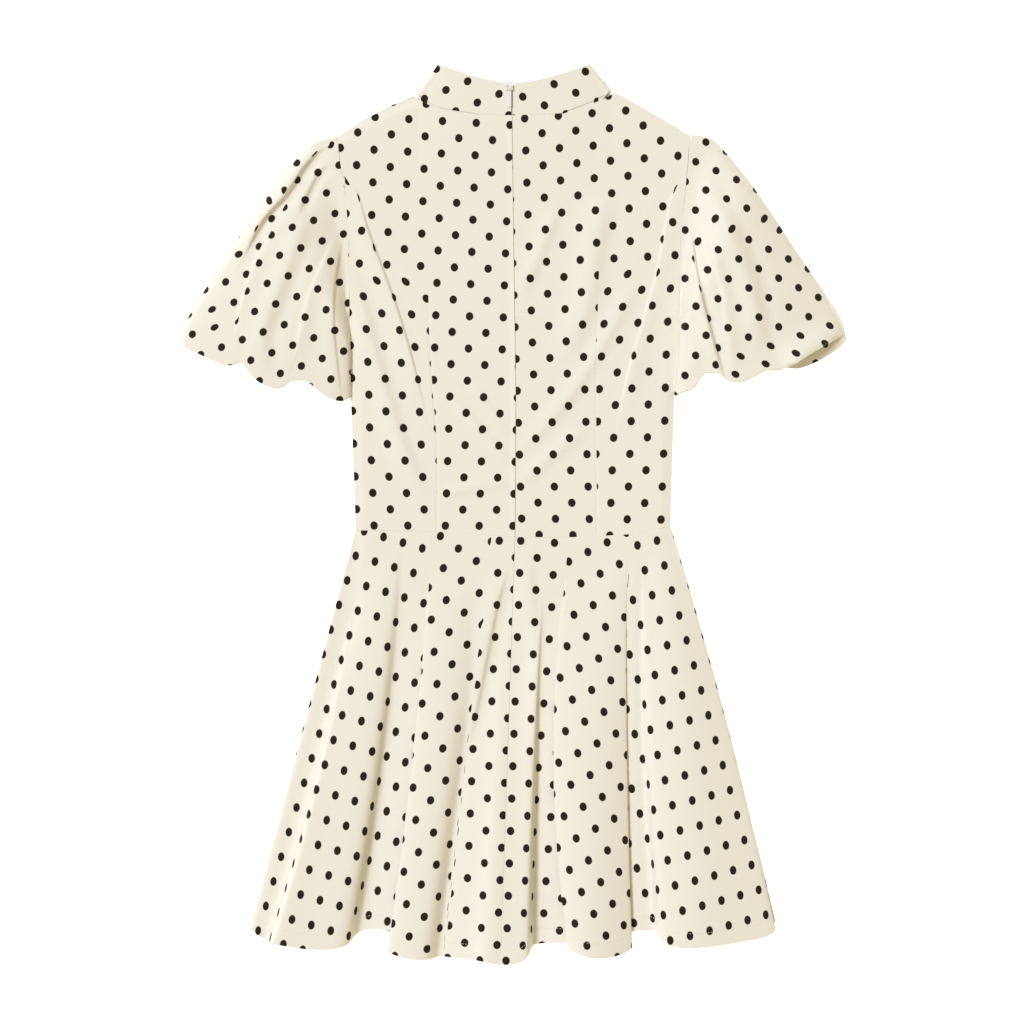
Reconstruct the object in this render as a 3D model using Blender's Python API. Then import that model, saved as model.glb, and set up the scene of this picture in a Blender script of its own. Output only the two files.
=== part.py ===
"""A short polka-dot dress with a stand collar, puff sleeves and a flared skirt, laid flat, back side up.

Tables and helpers work in millimetres. The frame is metres: +X to the dress's right sleeve as it
lies, +Y towards the collar, +Z up from the surface that the dress lies on. Every cloth piece is a
wall of one thickness about a middle surface, which rows (down the dress) and columns (across it)
of points describe.
"""

import math

import bmesh
import bpy
import numpy as np
from mathutils import Matrix

MM = 0.001

# Driving dimensions, in millimetres.
CLOTH = 1.2  # thickness of a cloth wall
GAP = 0.3  # clearance between two pieces at a seam or a contact
HALF = CLOTH / 2
FLAT_Z = HALF  # middle of a panel that lies on the surface
SEAM_Z = CLOTH + GAP + HALF  # middle of the back's edge where it meets the front
BACK_Z = 4.0  # middle of the back bodice and of the waist seam
NECK_Z = 7.5  # middle of the back at the neck seam and of the back of the collar
NECK_CORNER_X = 99.0
NECK_RISE_Y = 320.0  # the back starts to rise to the neck here
NECK_RISE_LENGTH = 95.0
COLLAR_RISE = 1.0  # how much higher the collar's top edge lies than the neck seam
NECK_SEAM_Y = 413.0
COLLAR_TOP_Y = 446.0
WAIST_Y = -24.0
EDGE_ROUND = 16.0  # width over which the back drops to its side seam
FRONT_INSET = 1.0  # how far the front bodice's edge lies inside the back's
FRONT_DROP = 1.5  # how far its shoulder and side lie below the back's
FRONT_SKIRT_INSET = 0.5
FOLD_FADE_IN = 0.25  # share of a soft fold's length over which it starts
FOLD_FADE_OUT = 0.3  # and over which it ends
FOLD_END = 1.05  # where it has gone, as a share of its length
SLEEVE_HEIGHT = 25.0  # how far a puff sleeve stands off the surface
SLEEVE_START = 0.16  # share of that height at the armhole
SLEEVE_SWELL = 0.35  # share of the sleeve's length over which the height is reached
SLEEVE_SINK = 0.12  # share of the height lost again towards the hem
SLEEVE_SINK_FROM = 0.7  # share of the length where that starts
SLEEVE_PROFILE = 0.8  # power of the sleeve's round section; less is flatter on top
SLEEVE_PLEATS_FROM = 0.12  # share of the length over which the pleats start
SLEEVE_HOLLOW = 1.3  # least height of the hollow in the sleeve, in cloth thicknesses
SLEEVE_EDGE_Z = 1.0  # extra height of the cloth along the crown's and underarm's folds
BUBBLE_RETURN = 0.14  # share of the sleeve's length that is turned back inside
BUBBLE_DEPTH = 2.6  # distance of the turned-in cloth from the outer cloth
BUBBLE_DEPTHS = (0.5, 1.0, 1.25, 1.4)  # that distance row by row, as shares of the depth
BUBBLE_HEM = 0.985  # share of the sleeve's length of the second turned-in row
BUBBLE_OVERLAP = 0.8  # how far the hem's turn hangs below the outer cloth
SKIRT_HALF_ANGLE = 45.0  # degrees of the skirt's circle in one back half
SKIRT_SIDE_ANGLE = 4.0  # degrees over which the waist drops to the side seam
SKIRT_RISE = 1.6  # how fast a column leaves the waist's height, against an even rise
TAPE_WIDTH = 17.0
TAPE = 1.0
TAPE_TOP_Y = 444.0
TAPE_BEND_Y = (300.0, 280.0)  # last close row of the tape's points and first wide one
TAPE_LOW_Y = -45.0
PULL_LENGTH = 18.5
PULL_WIDTH = 4.0
PULL = 1.0
PULL_SLOPE = 2.0  # degrees that the tab drops towards its tip
EYE = 1.6  # radius of the tab's eye
PIN = 0.6  # radius of the pin in it
ARM = 1.1  # width of the slider's arms
ARM_LENGTH = 2.5  # how far an arm runs on past the pull's eye
ARM_TOP = 1.0  # its height over the pin's middle
ARM_LIFT = 0.1  # its clearance from the collar, over the plate's
PLATE = 1.1
PLATE_BEVEL = 0.3
PULL_BEVEL = 0.25
PLATE_LOW_Z = NECK_Z + COLLAR_RISE + HALF + GAP
PIVOT_X = -4.8
PIVOT_Y = 440.0
PIVOT_Z = PLATE_LOW_Z + EYE
SLIDER_TOP_Y = 447.5

# Outlines as (x, y), from the centre back outwards or from the top down.
CENTRE_LINE = ((-2, 446), (-2, 413), (-1, 325), (2, 118), (1, -24))
WAIST_LINE = ((-164, -17), (-80, -18), (-20, -22), (1, -24), (61, -24), (115, -21), (162, -13))
NECK_LINE = ((-99, 434), (-89, 427), (-77, 421), (-35, 414), (-2, 413), (48, 415), (79, 427), (99, 437))
SHOULDER_LINE = {
    "left": ((-99, 434), (-126, 423), (-156, 408), (-183, 391)),
    "right": ((99, 437), (126, 424), (155, 408), (182, 393)),
}
SIDE_LINE = {
    "left": ((-183, 391), (-180, 363), (-175, 335), (-171, 281), (-170, 190), (-169, 118), (-164, -17)),
    "right": ((182, 393), (180, 360), (176, 322), (173, 285), (170, 177), (166, 127), (162, -13)),
}
FRONT_NECK = (
    (-99, 434), (-86, 409), (-61, 386), (-30, 371), (0, 365), (30, 371), (61, 386), (86, 409), (99, 437),
)
FRONT_SKIRT_SIDE = {
    "left": ((-164, -17), (-218, -218), (-270, -420)),
    "right": ((162, -13), (173, -58), (196, -136), (223, -229), (247.5, -322), (272, -423)),
}
# The front's hem lies just inside the back's, and so follows its lobes.
FRONT_HEM = (
    (271.5, -423), (235, -434), (190, -438), (156, -434), (135, -424), (118, -428), (96, -448), (62, -445),
    (38, -437), (14, -452), (-16, -457), (-46, -451), (-100, -452), (-128, -436), (-146, -423), (-166, -432),
    (-200, -441), (-240, -434), (-269.5, -420),
)

# Soft folds that cross the skirt's columns, as (line from the waist down, depth, width).
SKIRT_FOLDS = {
    "left": ((((-6, -40), (-20, -99), (-32, -169), (-46, -234), (-61, -296), (-69, -350)), 2.6, 10),),
    "right": (),
}

# The collar band, from the centre back to the centre front: the lower edge's x and height, then the
# top edge's x, y and height. The same rows, mirrored, make the other side.
COLLAR_STATIONS = (
    ("centre_back", 1.0, NECK_Z, 1.0, COLLAR_TOP_Y, NECK_Z + COLLAR_RISE),
    ("back", 33, NECK_Z, 25, 449, NECK_Z + COLLAR_RISE),
    ("back_side", 64, NECK_Z - 0.5, 54, 457, NECK_Z + 0.5),
    ("before_fold", 86, 6.5, 71, 464, 7.0),
    ("fold_high", 96, 5.4, 78, 466, 5.8),
    ("fold_middle", 98.5, 2.9, 79, 466, 3.1),
    ("fold_low", 96, FLAT_Z, 77, 465, FLAT_Z),
    ("after_fold", 91, FLAT_Z, 71, 458, FLAT_Z),
    ("front_side", 62, FLAT_Z, 48, 430, FLAT_Z),
    ("front", 31, FLAT_Z, 23, 415, FLAT_Z),
    ("centre_front", 0, FLAT_Z, 0, 409, FLAT_Z),
)
BACK_STATIONS = 4  # stations whose lower edge follows the back neck seam
FOLD_STATIONS = 3  # then those where the band turns under, above the neck's corner
FOLD_CLEARANCE = 3.0

# Large drag folds of the back bodice, as (line from the top down, depth, width).
BODICE_FOLDS = {
    "left": (((-158, 330), (-142, 272), (-123, 222), (-116, 189), (-99, 139), (-87, 77)), 2.2, 9),
    "right": (((165, 335), (157, 269), (142, 216), (121, 164), (97, 80), (92, 47)), 2.2, 9),
}
DARTS = {
    "left": (((-89, 245), (-84, 124), (-80, 76), (-80, -18)), 1.2, 4),
    "right": (((88, 257), (85, 115), (86, -18)), 1.2, 4),
}

# Skirt columns from the side seam to the centre back: place on the flared cloth in degrees from the
# centre back, hem point x and y, height at the hem, sideways bow of the column half way down, and
# the share of the length at which the column starts to leave the waist's height.
SKIRT_COLUMNS = {
    "left": (
        ("side_seam", 45, -273, -426, SEAM_Z, 0, 0),
        ("side_roll", 44.6, -274, -429, 6.5, 0, 0),
        ("lobe_a_edge", 43.9, -269, -435, 11.5, 0, 0.1),
        ("crease_low", 42.6, -253, -442, 11.5, 2, 0.3),
        ("crease_high", 41.6, -241, -444, 17, 2, 0.3),
        ("lobe_a", 39.2, -213, -449, 20.5, 2, 0.2),
        ("lobe_a_right", 36.6, -186, -450, 20, 4, 0.2),
        ("slope_high", 35.2, -170, -448, 16, 8, 0.2),
        ("slope_low", 34.3, -163, -437, 8, 10, 0.2),
        ("floor_left", 33.4, -157, -430, 3.6, 10, 0.2),
        ("floor_right", 32.2, -143, -430, 3.2, 4, 0.2),
        ("tuck_in", 31, -128, -430, 3.2, 0, 0.15),
        ("tuck_deep", 28.5, -119, -435, 4.5, -2, 0.15),
        ("tuck_back", 22, -124, -443, 9.5, -2, 0.15),
        ("lobe_b_edge", 19.3, -139, -452, 15.5, -2, 0.1),
        ("lobe_b_left", 18.2, -130, -454, 21, 0, 0.1),
        ("lobe_b", 16, -108, -460, 23, 0, 0.1),
        ("lobe_b_right", 14.2, -88, -461, 21.5, -4, 0.2),
        ("valley_left", 12.8, -74, -458, 14, -10, 0.45),
        ("valley_right", 11.9, -67, -457, 13.5, -8, 0.45),
        ("lobe_c_left", 10.9, -59, -457, 17, 0, 0.3),
        ("lobe_c_mid", 9.8, -49, -458, 18, 8, 0.3),
        ("crease_left", 8.9, -41, -461, 15.5, 17, 0.4),
        ("crease_right", 3.4, -39, -461, 17.5, 14, 0.4),
        ("lobe_c", 2.2, -30, -464, 21.5, 6, 0.3),
        ("centre_back", 0, -16, -465, 22, 4, 0.2),
    ),
    "right": (
        ("side_seam", 45, 269, -427, SEAM_Z, 0, 0),
        ("side_roll", 44.8, 271, -432, 6, 0, 0),
        ("side_edge", 44.2, 262, -438, 11, 0, 0.1),
        ("lobe_e_right", 42.3, 235, -442, 17.5, 0, 0.2),
        ("lobe_e_mid", 39.8, 205, -446, 20.5, 0, 0.2),
        ("lobe_e", 37.3, 176, -449, 20.5, -2, 0.15),
        ("lobe_e_left", 35.6, 156, -449, 16.5, -6, 0.15),
        ("slope_right", 34.8, 150, -435, 9, -7, 0.2),
        ("valley_right", 33.9, 141, -431, 3.4, -5, 0.2),
        ("valley_left", 32.8, 126, -431, 3.2, -2, 0.15),
        ("tuck_under", 31.6, 112, -434, 4.5, 0, 0.15),
        ("tuck_over", 30.6, 116, -440, 8, 2, 0.15),
        ("lobe_d_roll", 29.9, 124, -447, 13.5, 2, 0.1),
        ("lobe_d_high", 29.3, 120, -456, 19.5, 2, 0.1),
        ("lobe_d_right", 27.6, 101, -458, 23.5, 0, 0.1),
        ("lobe_d", 25.6, 78, -458, 24, -8, 0.1),
        ("lobe_d_left", 23.7, 57, -452, 22, -17, 0.1),
        ("lobe_d_edge", 22.6, 49, -447, 16, -21, 0.1),
        ("tuck_back", 19.5, 64, -448, 10, -17, 0.15),
        ("tuck_deep", 9.5, 68, -446, 4.5, -12, 0.15),
        ("tuck_in", 7.2, 55, -444, 3.2, -6, 0.15),
        ("floor_right", 5.8, 37, -444, 3.2, 0, 0.3),
        ("floor_left", 4.4, 23, -445, 4, 6, 0.3),
        ("slope", 3.3, 19, -451, 10, 8, 0.25),
        ("lobe_c_edge", 2.4, 13, -464, 17, 8, 0.2),
        ("lobe_c", 1.3, 0, -466, 21, 6, 0.2),
        ("centre_back", 0, -16, -465, 22, 4, 0.2),
    ),
}

# Sleeve outlines: the crown's fold, the underarm's fold and the hem from the crown to the underarm.
SLEEVES = {
    "left": {
        "crown": (
            (-183, 391), (-204, 386), (-216, 377), (-231, 361), (-257, 330),
            (-277, 299), (-317, 237), (-336, 206), (-343, 188),
        ),
        "underarm": ((-171, 196), (-170, 175), (-169, 121)),
        "hem": (
            (-343, 188), (-340, 174), (-322, 165), (-302, 156), (-292, 155), (-282, 158), (-276, 151),
            (-264, 138), (-247, 131), (-237, 133), (-231, 138), (-214, 138), (-196, 124), (-180, 118),
            (-169, 121),
        ),
        "under_hem": (
            (-343, 188), (-340, 174), (-322, 165), (-302, 156), (-282, 156), (-264, 140), (-247, 133),
            (-231, 137), (-214, 137), (-196, 125), (-180, 120), (-169, 121),
        ),
        "folds": (
            (((-206, 371), (-231, 335), (-266, 253), (-289, 189), (-283, 160)), 8, 9),
            (((-201, 354), (-233, 326), (-229, 295), (-218, 205), (-216, 184), (-230, 153)), 6, 8),
            (((-173, 315), (-184, 222), (-189, 169), (-184, 143), (-179, 121)), 5, 8),
        ),
    },
    "right": {
        "crown": (
            (182, 393), (198, 391), (210, 384), (236, 354), (262, 318),
            (289, 277), (316, 237), (337, 204), (343, 187),
        ),
        "underarm": ((172, 201), (171, 170), (167, 124)),
        "hem": (
            (343, 187), (317, 170), (296, 158), (289, 154), (269, 146), (259, 146), (239, 141), (226, 133),
            (213, 138), (204, 141), (189, 142), (181, 130), (167, 124),
        ),
        "under_hem": (
            (343, 187), (344, 180), (335, 172), (322, 164), (310, 159), (296, 155), (269, 146),
            (226, 134), (189, 142), (167, 124),
        ),
        "folds": (
            (((184, 383), (194, 293), (205, 233), (200, 189), (211, 157)), 7, 9),
            (((217, 300), (231, 268), (241, 236), (253, 205), (263, 173), (271, 147)), 4, 8),
            (((207, 258), (216, 228), (223, 172), (226, 149)), 3, 7),
        ),
    },
}

# Counts of rows and columns in the middle surfaces.
BODICE_COLUMNS = 13
BODICE_ROWS = 13
SKIRT_ROWS = 9
SKIRT_STEPS = 2  # columns of points between two rows of the skirt table
SLEEVE_TOP = 16
SLEEVE_BOTTOM = 6
SLEEVE_ROWS = 11
COLLAR_COLUMNS = 44
COLLAR_ROWS = 3
TAPE_ROWS = (13, 9)  # close rows where the back rises to the neck, and wide ones below
TAPE_COLUMNS = 3
ROD_SEGMENTS = 20
BEVEL_SEGMENTS = 2

CREAM = (0.86, 0.79, 0.66)
ZIP_WHITE = (0.86, 0.86, 0.84)


def clear_scene():
    for obj in list(bpy.data.objects):
        bpy.data.objects.remove(obj, do_unlink=True)


def make_material(name, colour, roughness, metallic=0.0):
    material = bpy.data.materials.new(name)
    material.use_nodes = True
    shader = material.node_tree.nodes["Principled BSDF"]
    shader.inputs["Base Color"].default_value = (*colour, 1.0)
    shader.inputs["Roughness"].default_value = roughness
    shader.inputs["Metallic"].default_value = metallic
    return material


# Curves and surfaces.


def smooth(value):
    value = np.clip(value, 0.0, 1.0)
    return value * value * (3 - 2 * value)


def along_x(line, x):
    """The y of a line given by points, at x."""
    points = np.array(sorted(line), float)
    return np.interp(x, points[:, 0], points[:, 1])


def along_y(line, y):
    """The x of a line given by points, at y."""
    points = np.array(sorted(line, key=lambda point: point[1]), float)
    return np.interp(y, points[:, 1], points[:, 0])


def along_length(line, share):
    """Points at the given shares of a polyline's length."""
    points = np.array(line, float)
    steps = np.linalg.norm(np.diff(points, axis=0), axis=1)
    lengths = np.concatenate([[0.0], np.cumsum(steps)]) / steps.sum()
    share = np.asarray(share, float)
    axes = [np.interp(share, lengths, points[:, axis]) for axis in range(points.shape[1])]
    return np.stack(axes, axis=-1)


def blend_weights(count, places):
    """Weights of a clamped uniform cubic B-spline: one row for each place from 0 to count - 1."""
    weights = np.zeros((len(places), count))
    for row, place in enumerate(places):
        start = min(int(math.floor(place)), count - 2)
        u = place - start
        basis = (
            (1 - u) ** 3 / 6,
            (3 * u**3 - 6 * u**2 + 4) / 6,
            (-3 * u**3 + 3 * u**2 + 3 * u + 1) / 6,
            u**3 / 6,
        )
        for offset, weight in zip((-1, 0, 1, 2), basis):
            column = start + offset
            if column < 0:
                weights[row, 0] += 2 * weight
                weights[row, 1] -= weight
            elif column >= count:
                weights[row, -1] += 2 * weight
                weights[row, -2] -= weight
            else:
                weights[row, column] += weight
    return weights


def distance_to_line(x, y, line):
    """Distance of each point to a polyline, and how far along the line its foot is, from 0 to 1."""
    points = np.array(line, float)
    steps = np.linalg.norm(np.diff(points, axis=0), axis=1)
    starts = np.concatenate([[0.0], np.cumsum(steps)])
    nearest = np.full(np.shape(x), np.inf)
    place = np.zeros(np.shape(x))
    for index, step in enumerate(steps):
        first = points[index]
        direction = (points[index + 1] - first) / step
        foot = np.clip((x - first[0]) * direction[0] + (y - first[1]) * direction[1], 0.0, step)
        away = np.hypot(x - first[0] - foot * direction[0], y - first[1] - foot * direction[1])
        closer = away < nearest
        nearest = np.where(closer, away, nearest)
        place = np.where(closer, (starts[index] + foot) / starts[-1], place)
    return nearest, place


def trough(x, y, fold):
    """Depth of a soft fold at each point: it fades out towards both ends of its line."""
    line, depth, width = fold
    away, place = distance_to_line(x, y, line)
    fade = smooth(place / FOLD_FADE_IN) * smooth((FOLD_END - place) / FOLD_FADE_OUT)
    return depth * fade * np.exp(-((away / width) ** 2))


# Solids.


def grid_normals(grid, closed):
    """Unit normals of a surface of rows and columns; a closed one joins its last column to its first."""
    down = np.gradient(grid, axis=0)
    if closed:
        across = np.roll(grid, -1, axis=1) - np.roll(grid, 1, axis=1)
    else:
        across = np.gradient(grid, axis=1)
    normals = np.cross(across, down)
    return normals / np.maximum(np.linalg.norm(normals, axis=2, keepdims=True), 1e-9)


def wall_faces(rows, columns, closed):
    """Quads of a wall whose two skins are grids of the same size, with rims along its open edges."""
    total = rows * columns
    faces = []
    last = columns if closed else columns - 1
    for row in range(rows - 1):
        for column in range(last):
            beside = (column + 1) % columns
            quad = (
                row * columns + column,
                row * columns + beside,
                (row + 1) * columns + beside,
                (row + 1) * columns + column,
            )
            faces.append(quad)
            faces.append(tuple(total + index for index in reversed(quad)))
    for column in range(last):
        beside = (column + 1) % columns
        low = (rows - 1) * columns
        faces.append((beside, column, total + column, total + beside))
        faces.append((low + column, low + beside, total + low + beside, total + low + column))
    if not closed:
        for row in range(rows - 1):
            here = row * columns
            below = here + columns
            faces.append((here, below, total + below, total + here))
            end = columns - 1
            faces.append((below + end, here + end, total + here + end, total + below + end))
    return faces


def make_object(name, points, faces, material):
    """An object from points in millimetres, with its faces turned outwards."""
    mesh = bpy.data.meshes.new(name)
    mesh.from_pydata([tuple(point * MM) for point in points], [], faces)
    shape = bmesh.new()
    shape.from_mesh(mesh)
    bmesh.ops.recalc_face_normals(shape, faces=shape.faces)
    bmesh.ops.triangulate(shape, faces=shape.faces)
    if shape.calc_volume(signed=True) < 0:
        bmesh.ops.reverse_faces(shape, faces=shape.faces)
    shape.to_mesh(mesh)
    shape.free()
    mesh.materials.append(material)
    mesh.shade_smooth()
    mesh.set_sharp_from_angle(angle=math.radians(50))
    obj = bpy.data.objects.new(name, mesh)
    bpy.context.collection.objects.link(obj)
    return obj


def make_wall(name, grid, material, thickness=CLOTH, closed=False):
    """A closed wall of one thickness about a middle surface, never lower than the surface it lies on."""
    normals = grid_normals(grid, closed)
    if normals[..., 2].mean() < 0:
        normals = -normals
    rows, columns = grid.shape[:2]
    upper = grid + normals * thickness / 2
    lower = grid - normals * thickness / 2
    points = np.concatenate([upper.reshape(-1, 3), lower.reshape(-1, 3)])
    points[:, 2] = np.maximum(points[:, 2], 0.0)
    return make_object(name, points, wall_faces(rows, columns, closed), material)


def make_flat_panel(name, outline, material):
    """A panel that lies on the surface: its outline, extruded by the cloth's thickness."""
    points = [(x, y, 0.0) for x, y in outline] + [(x, y, CLOTH) for x, y in outline]
    count = len(outline)
    faces = [tuple(range(count)), tuple(range(2 * count - 1, count - 1, -1))]
    for index in range(count):
        beside = (index + 1) % count
        faces.append((index, beside, count + beside, count + index))
    return make_object(name, np.array(points, float), faces, material)


# Bodice.


def back_height(x, y, side):
    """Height of the middle of the back bodice."""
    neck_rise = (NECK_Z - BACK_Z) * smooth((y - NECK_RISE_Y) / NECK_RISE_LENGTH)
    neck_rise = neck_rise * np.cos(np.clip(x / (1.2 * NECK_CORNER_X), -1, 1) * math.pi / 2)
    height = BACK_Z + neck_rise
    height = height - trough(x, y, DARTS[side]) + trough(x, y, BODICE_FOLDS[side])
    edge = np.abs(along_y(SIDE_LINE[side], y) - x)
    shoulder = along_x(SHOULDER_LINE[side], x) - y
    on_shoulder = np.abs(x) > NECK_CORNER_X
    inside = np.where(on_shoulder, np.minimum(edge, shoulder), edge)
    return SEAM_Z + (height - SEAM_Z) * smooth((inside + EDGE_ROUND / 4) / EDGE_ROUND)


def bodice_half(side):
    """Middle surface of a back bodice half: rows down, columns from the centre back to the side."""
    top_line = NECK_LINE + SHOULDER_LINE[side]
    tip_x = SIDE_LINE[side][0][0]
    sign = math.copysign(1, tip_x)
    shares = np.linspace(0, 1, BODICE_COLUMNS)
    corner = (NECK_CORNER_X - abs(CENTRE_LINE[1][0])) / (abs(tip_x) - abs(CENTRE_LINE[1][0]))
    shares[np.argmin(np.abs(shares - corner))] = corner
    grid = np.zeros((BODICE_ROWS, BODICE_COLUMNS, 3))
    for column, share in enumerate(shares):
        start_x = CENTRE_LINE[1][0] + share * (tip_x - CENTRE_LINE[1][0])
        top_y = along_x(top_line, start_x) - GAP
        for row, depth in enumerate(np.linspace(0, 1, BODICE_ROWS)):
            waist_x = along_y(CENTRE_LINE, WAIST_Y) * (1 - share) + SIDE_LINE[side][-1][0] * share
            waist_y = along_x(WAIST_LINE, waist_x) + GAP / 2
            y = top_y + (waist_y - top_y) * depth
            centre_x = along_y(CENTRE_LINE, y) + sign * GAP / 2
            side_x = along_y(SIDE_LINE[side], y)
            grid[row, column, :2] = (centre_x + (side_x - centre_x) * share, y)
    grid[..., 2] = back_height(grid[..., 0], grid[..., 1], side)
    return grid


def front_bodice_outline():
    neck = [(x, y - FRONT_INSET) for x, y in FRONT_NECK]
    right = SHOULDER_LINE["right"][1:] + SIDE_LINE["right"][1:]
    right = [(x - FRONT_INSET, y - FRONT_DROP) for x, y in right]
    left = SHOULDER_LINE["left"][1:] + SIDE_LINE["left"][1:]
    left = [(x + FRONT_INSET, y - FRONT_DROP) for x, y in left]
    waist = [(x, y + GAP) for x, y in WAIST_LINE[1:-1]]
    right[-1] = (right[-1][0], along_x(WAIST_LINE, right[-1][0]) + GAP)
    left[-1] = (left[-1][0], along_x(WAIST_LINE, left[-1][0]) + GAP)
    return neck + right + waist[::-1] + left[::-1]


# Skirt.


def skirt_half(side):
    """Middle surface of a back skirt half: rows from waist to hem, columns from the side to the centre."""
    table = SKIRT_COLUMNS[side]
    sign = math.copysign(1, table[0][2])
    degrees = np.array([row[1] for row in table], float)
    hem = np.array([row[2:4] for row in table], float)
    lift = np.array([row[4] for row in table], float)
    bow = np.array([row[5] for row in table], float)
    onset = np.array([row[6] for row in table], float)
    centre_x = along_y(CENTRE_LINE, WAIST_Y) + sign * GAP
    waist_x = centre_x + (SIDE_LINE[side][-1][0] - centre_x) * degrees / SKIRT_HALF_ANGLE
    waist_z = SEAM_Z + (BACK_Z - SEAM_Z) * smooth((SKIRT_HALF_ANGLE - degrees) / SKIRT_SIDE_ANGLE)
    hem[-1, 0] += sign * GAP
    places = np.linspace(0, len(table) - 1, (len(table) - 1) * SKIRT_STEPS + 1)
    weights = blend_weights(len(table), places)
    grid = np.zeros((SKIRT_ROWS, len(places), 3))
    for row, depth in enumerate(np.linspace(0, 1, SKIRT_ROWS)):
        rise = np.clip((depth - onset) / (1 - onset), 0, 1)
        rise = rise * (SKIRT_RISE - (SKIRT_RISE - 1) * rise)
        x = waist_x + (hem[:, 0] - waist_x) * depth + bow * 4 * depth * (1 - depth)
        z = waist_z + (lift - waist_z) * rise
        across_x = weights @ x
        waist_y = along_x(WAIST_LINE, weights @ waist_x) - GAP
        down_y = waist_y + (weights @ hem[:, 1] - waist_y) * depth
        folds = sum(trough(across_x, down_y, fold) for fold in SKIRT_FOLDS[side])
        height = np.maximum(weights @ z - folds, SEAM_Z)
        grid[row] = np.stack([across_x, down_y, height], axis=-1)
    return grid


def front_skirt_outline():
    right = [(x - FRONT_SKIRT_INSET, y - GAP) for x, y in FRONT_SKIRT_SIDE["right"]]
    left = [(x + FRONT_SKIRT_INSET, y - GAP) for x, y in FRONT_SKIRT_SIDE["left"]]
    places = np.linspace(0, len(FRONT_HEM) - 1, 3 * len(FRONT_HEM) - 2)[1:-1]
    hem = [tuple(point) for point in blend_weights(len(FRONT_HEM), places) @ np.array(FRONT_HEM, float)]
    waist = [(x, y - GAP) for x, y in WAIST_LINE[1:-1]]
    return right + hem + left[::-1] + waist


# Sleeves.


def sleeve_swell(depth):
    """How high the sleeve stands at a share of its length from the armhole."""
    start = (1 - SLEEVE_START) * smooth(depth / SLEEVE_SWELL)
    sink = SLEEVE_SINK * smooth((depth - SLEEVE_SINK_FROM) / (1 - SLEEVE_SINK_FROM))
    return SLEEVE_HEIGHT * (SLEEVE_START + start - sink)


def sleeve_surface(side, length_shares, top_shares, bottom_shares):
    """Middle surface of a sleeve tube: rows from armhole to hem, columns once round the tube."""
    spec = SLEEVES[side]
    sign = math.copysign(1, spec["crown"][0][0])
    shoulder, underarm = spec["crown"][0], spec["underarm"][0]
    armhole = [point for point in SIDE_LINE[side] if underarm[1] < point[1] < shoulder[1]]
    armhole = [(x + sign * (GAP + HALF), y) for x, y in [shoulder, *armhole, underarm]]
    crown = [(x + sign * (GAP + HALF), y) for x, y in spec["crown"]]
    inner = [(x + sign * (GAP + HALF), y) for x, y in spec["underarm"]]
    hems = [[(x + sign * (GAP + HALF), y) for x, y in spec[name]] for name in ("hem", "under_hem")]
    grid = np.zeros((len(length_shares), len(top_shares) + len(bottom_shares), 3))
    for row, depth in enumerate(length_shares):
        depth_in = min(depth, 1.0)
        crown_at = along_length(crown, depth_in)
        inner_at = along_length(inner, depth_in)
        swell = sleeve_swell(depth_in)
        for column, share in enumerate([*top_shares, *bottom_shares]):
            hem = hems[0 if column < len(top_shares) else 1]
            ends = along_length(armhole, share), along_length(hem, share)
            point = (1 - depth_in) * ends[0] + depth_in * ends[1] + (1 - share) * crown_at + share * inner_at
            armhole_corner = (1 - share) * np.array(armhole[0]) + share * np.array(armhole[-1])
            hem_corner = (1 - share) * np.array(hem[0]) + share * np.array(hem[-1])
            point = point - (1 - depth_in) * armhole_corner - depth_in * hem_corner
            height = FLAT_Z
            if column < len(top_shares):
                round_share = 2 * math.sqrt(max(share * (1 - share), 0.0))
                relief = sum(float(trough(point[0], point[1], fold)) for fold in spec["folds"])
                relief *= smooth(depth_in / SLEEVE_PLEATS_FROM)
                dome = swell * round_share**SLEEVE_PROFILE - relief * round_share
                height += max(dome, CLOTH * SLEEVE_HOLLOW * round_share)
                height += SLEEVE_EDGE_Z * (1 - round_share)
            grid[row, column] = (*point, height)
    return grid


def sleeve(side):
    """The tube, and the cloth turned in at its hem, as one surface that runs on from row to row."""
    top = (1 - np.cos(np.linspace(0, math.pi, SLEEVE_TOP))) / 2
    bottom = (1 - np.cos(np.linspace(math.pi, 0, SLEEVE_BOTTOM + 2)[1:-1])) / 2
    rows = np.linspace(0, 1, SLEEVE_ROWS)
    outer = sleeve_surface(side, rows, top, bottom)
    turned = np.array([1.0, BUBBLE_HEM, 1 - BUBBLE_RETURN / 2, 1 - BUBBLE_RETURN])
    inside = sleeve_surface(side, turned, top, bottom)
    normals = grid_normals(inside, closed=True)
    if normals[:, :SLEEVE_TOP, 2].mean() < 0:
        normals = -normals
    depths = np.array(BUBBLE_DEPTHS)[:, None, None] * BUBBLE_DEPTH
    inside = inside - normals * depths
    inside[0, :, 1] -= BUBBLE_OVERLAP
    return np.concatenate([outer, inside])


# Collar and zip.


def collar_side(sign):
    """The collar's stations on one side, as rows of lower x, y, z and top x, y, z."""
    rows = []
    corner_y = along_x(NECK_LINE, sign * NECK_CORNER_X)
    for index, station in enumerate(COLLAR_STATIONS):
        low_x, low_z, top_x, top_y, top_z = station[1:]
        if index < BACK_STATIONS:
            low_y = along_x(NECK_LINE, sign * low_x) + 2 * GAP
        elif index < BACK_STATIONS + FOLD_STATIONS:
            low_y = corner_y + FOLD_CLEARANCE
        else:
            low_y = along_x(FRONT_NECK, sign * low_x) + 2 * GAP
        rows.append((sign * low_x, low_y, low_z, sign * top_x, top_y, top_z))
    rows = np.array(rows)
    rows[0, [0, 3]] += along_y(CENTRE_LINE, NECK_SEAM_Y)
    return rows


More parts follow.
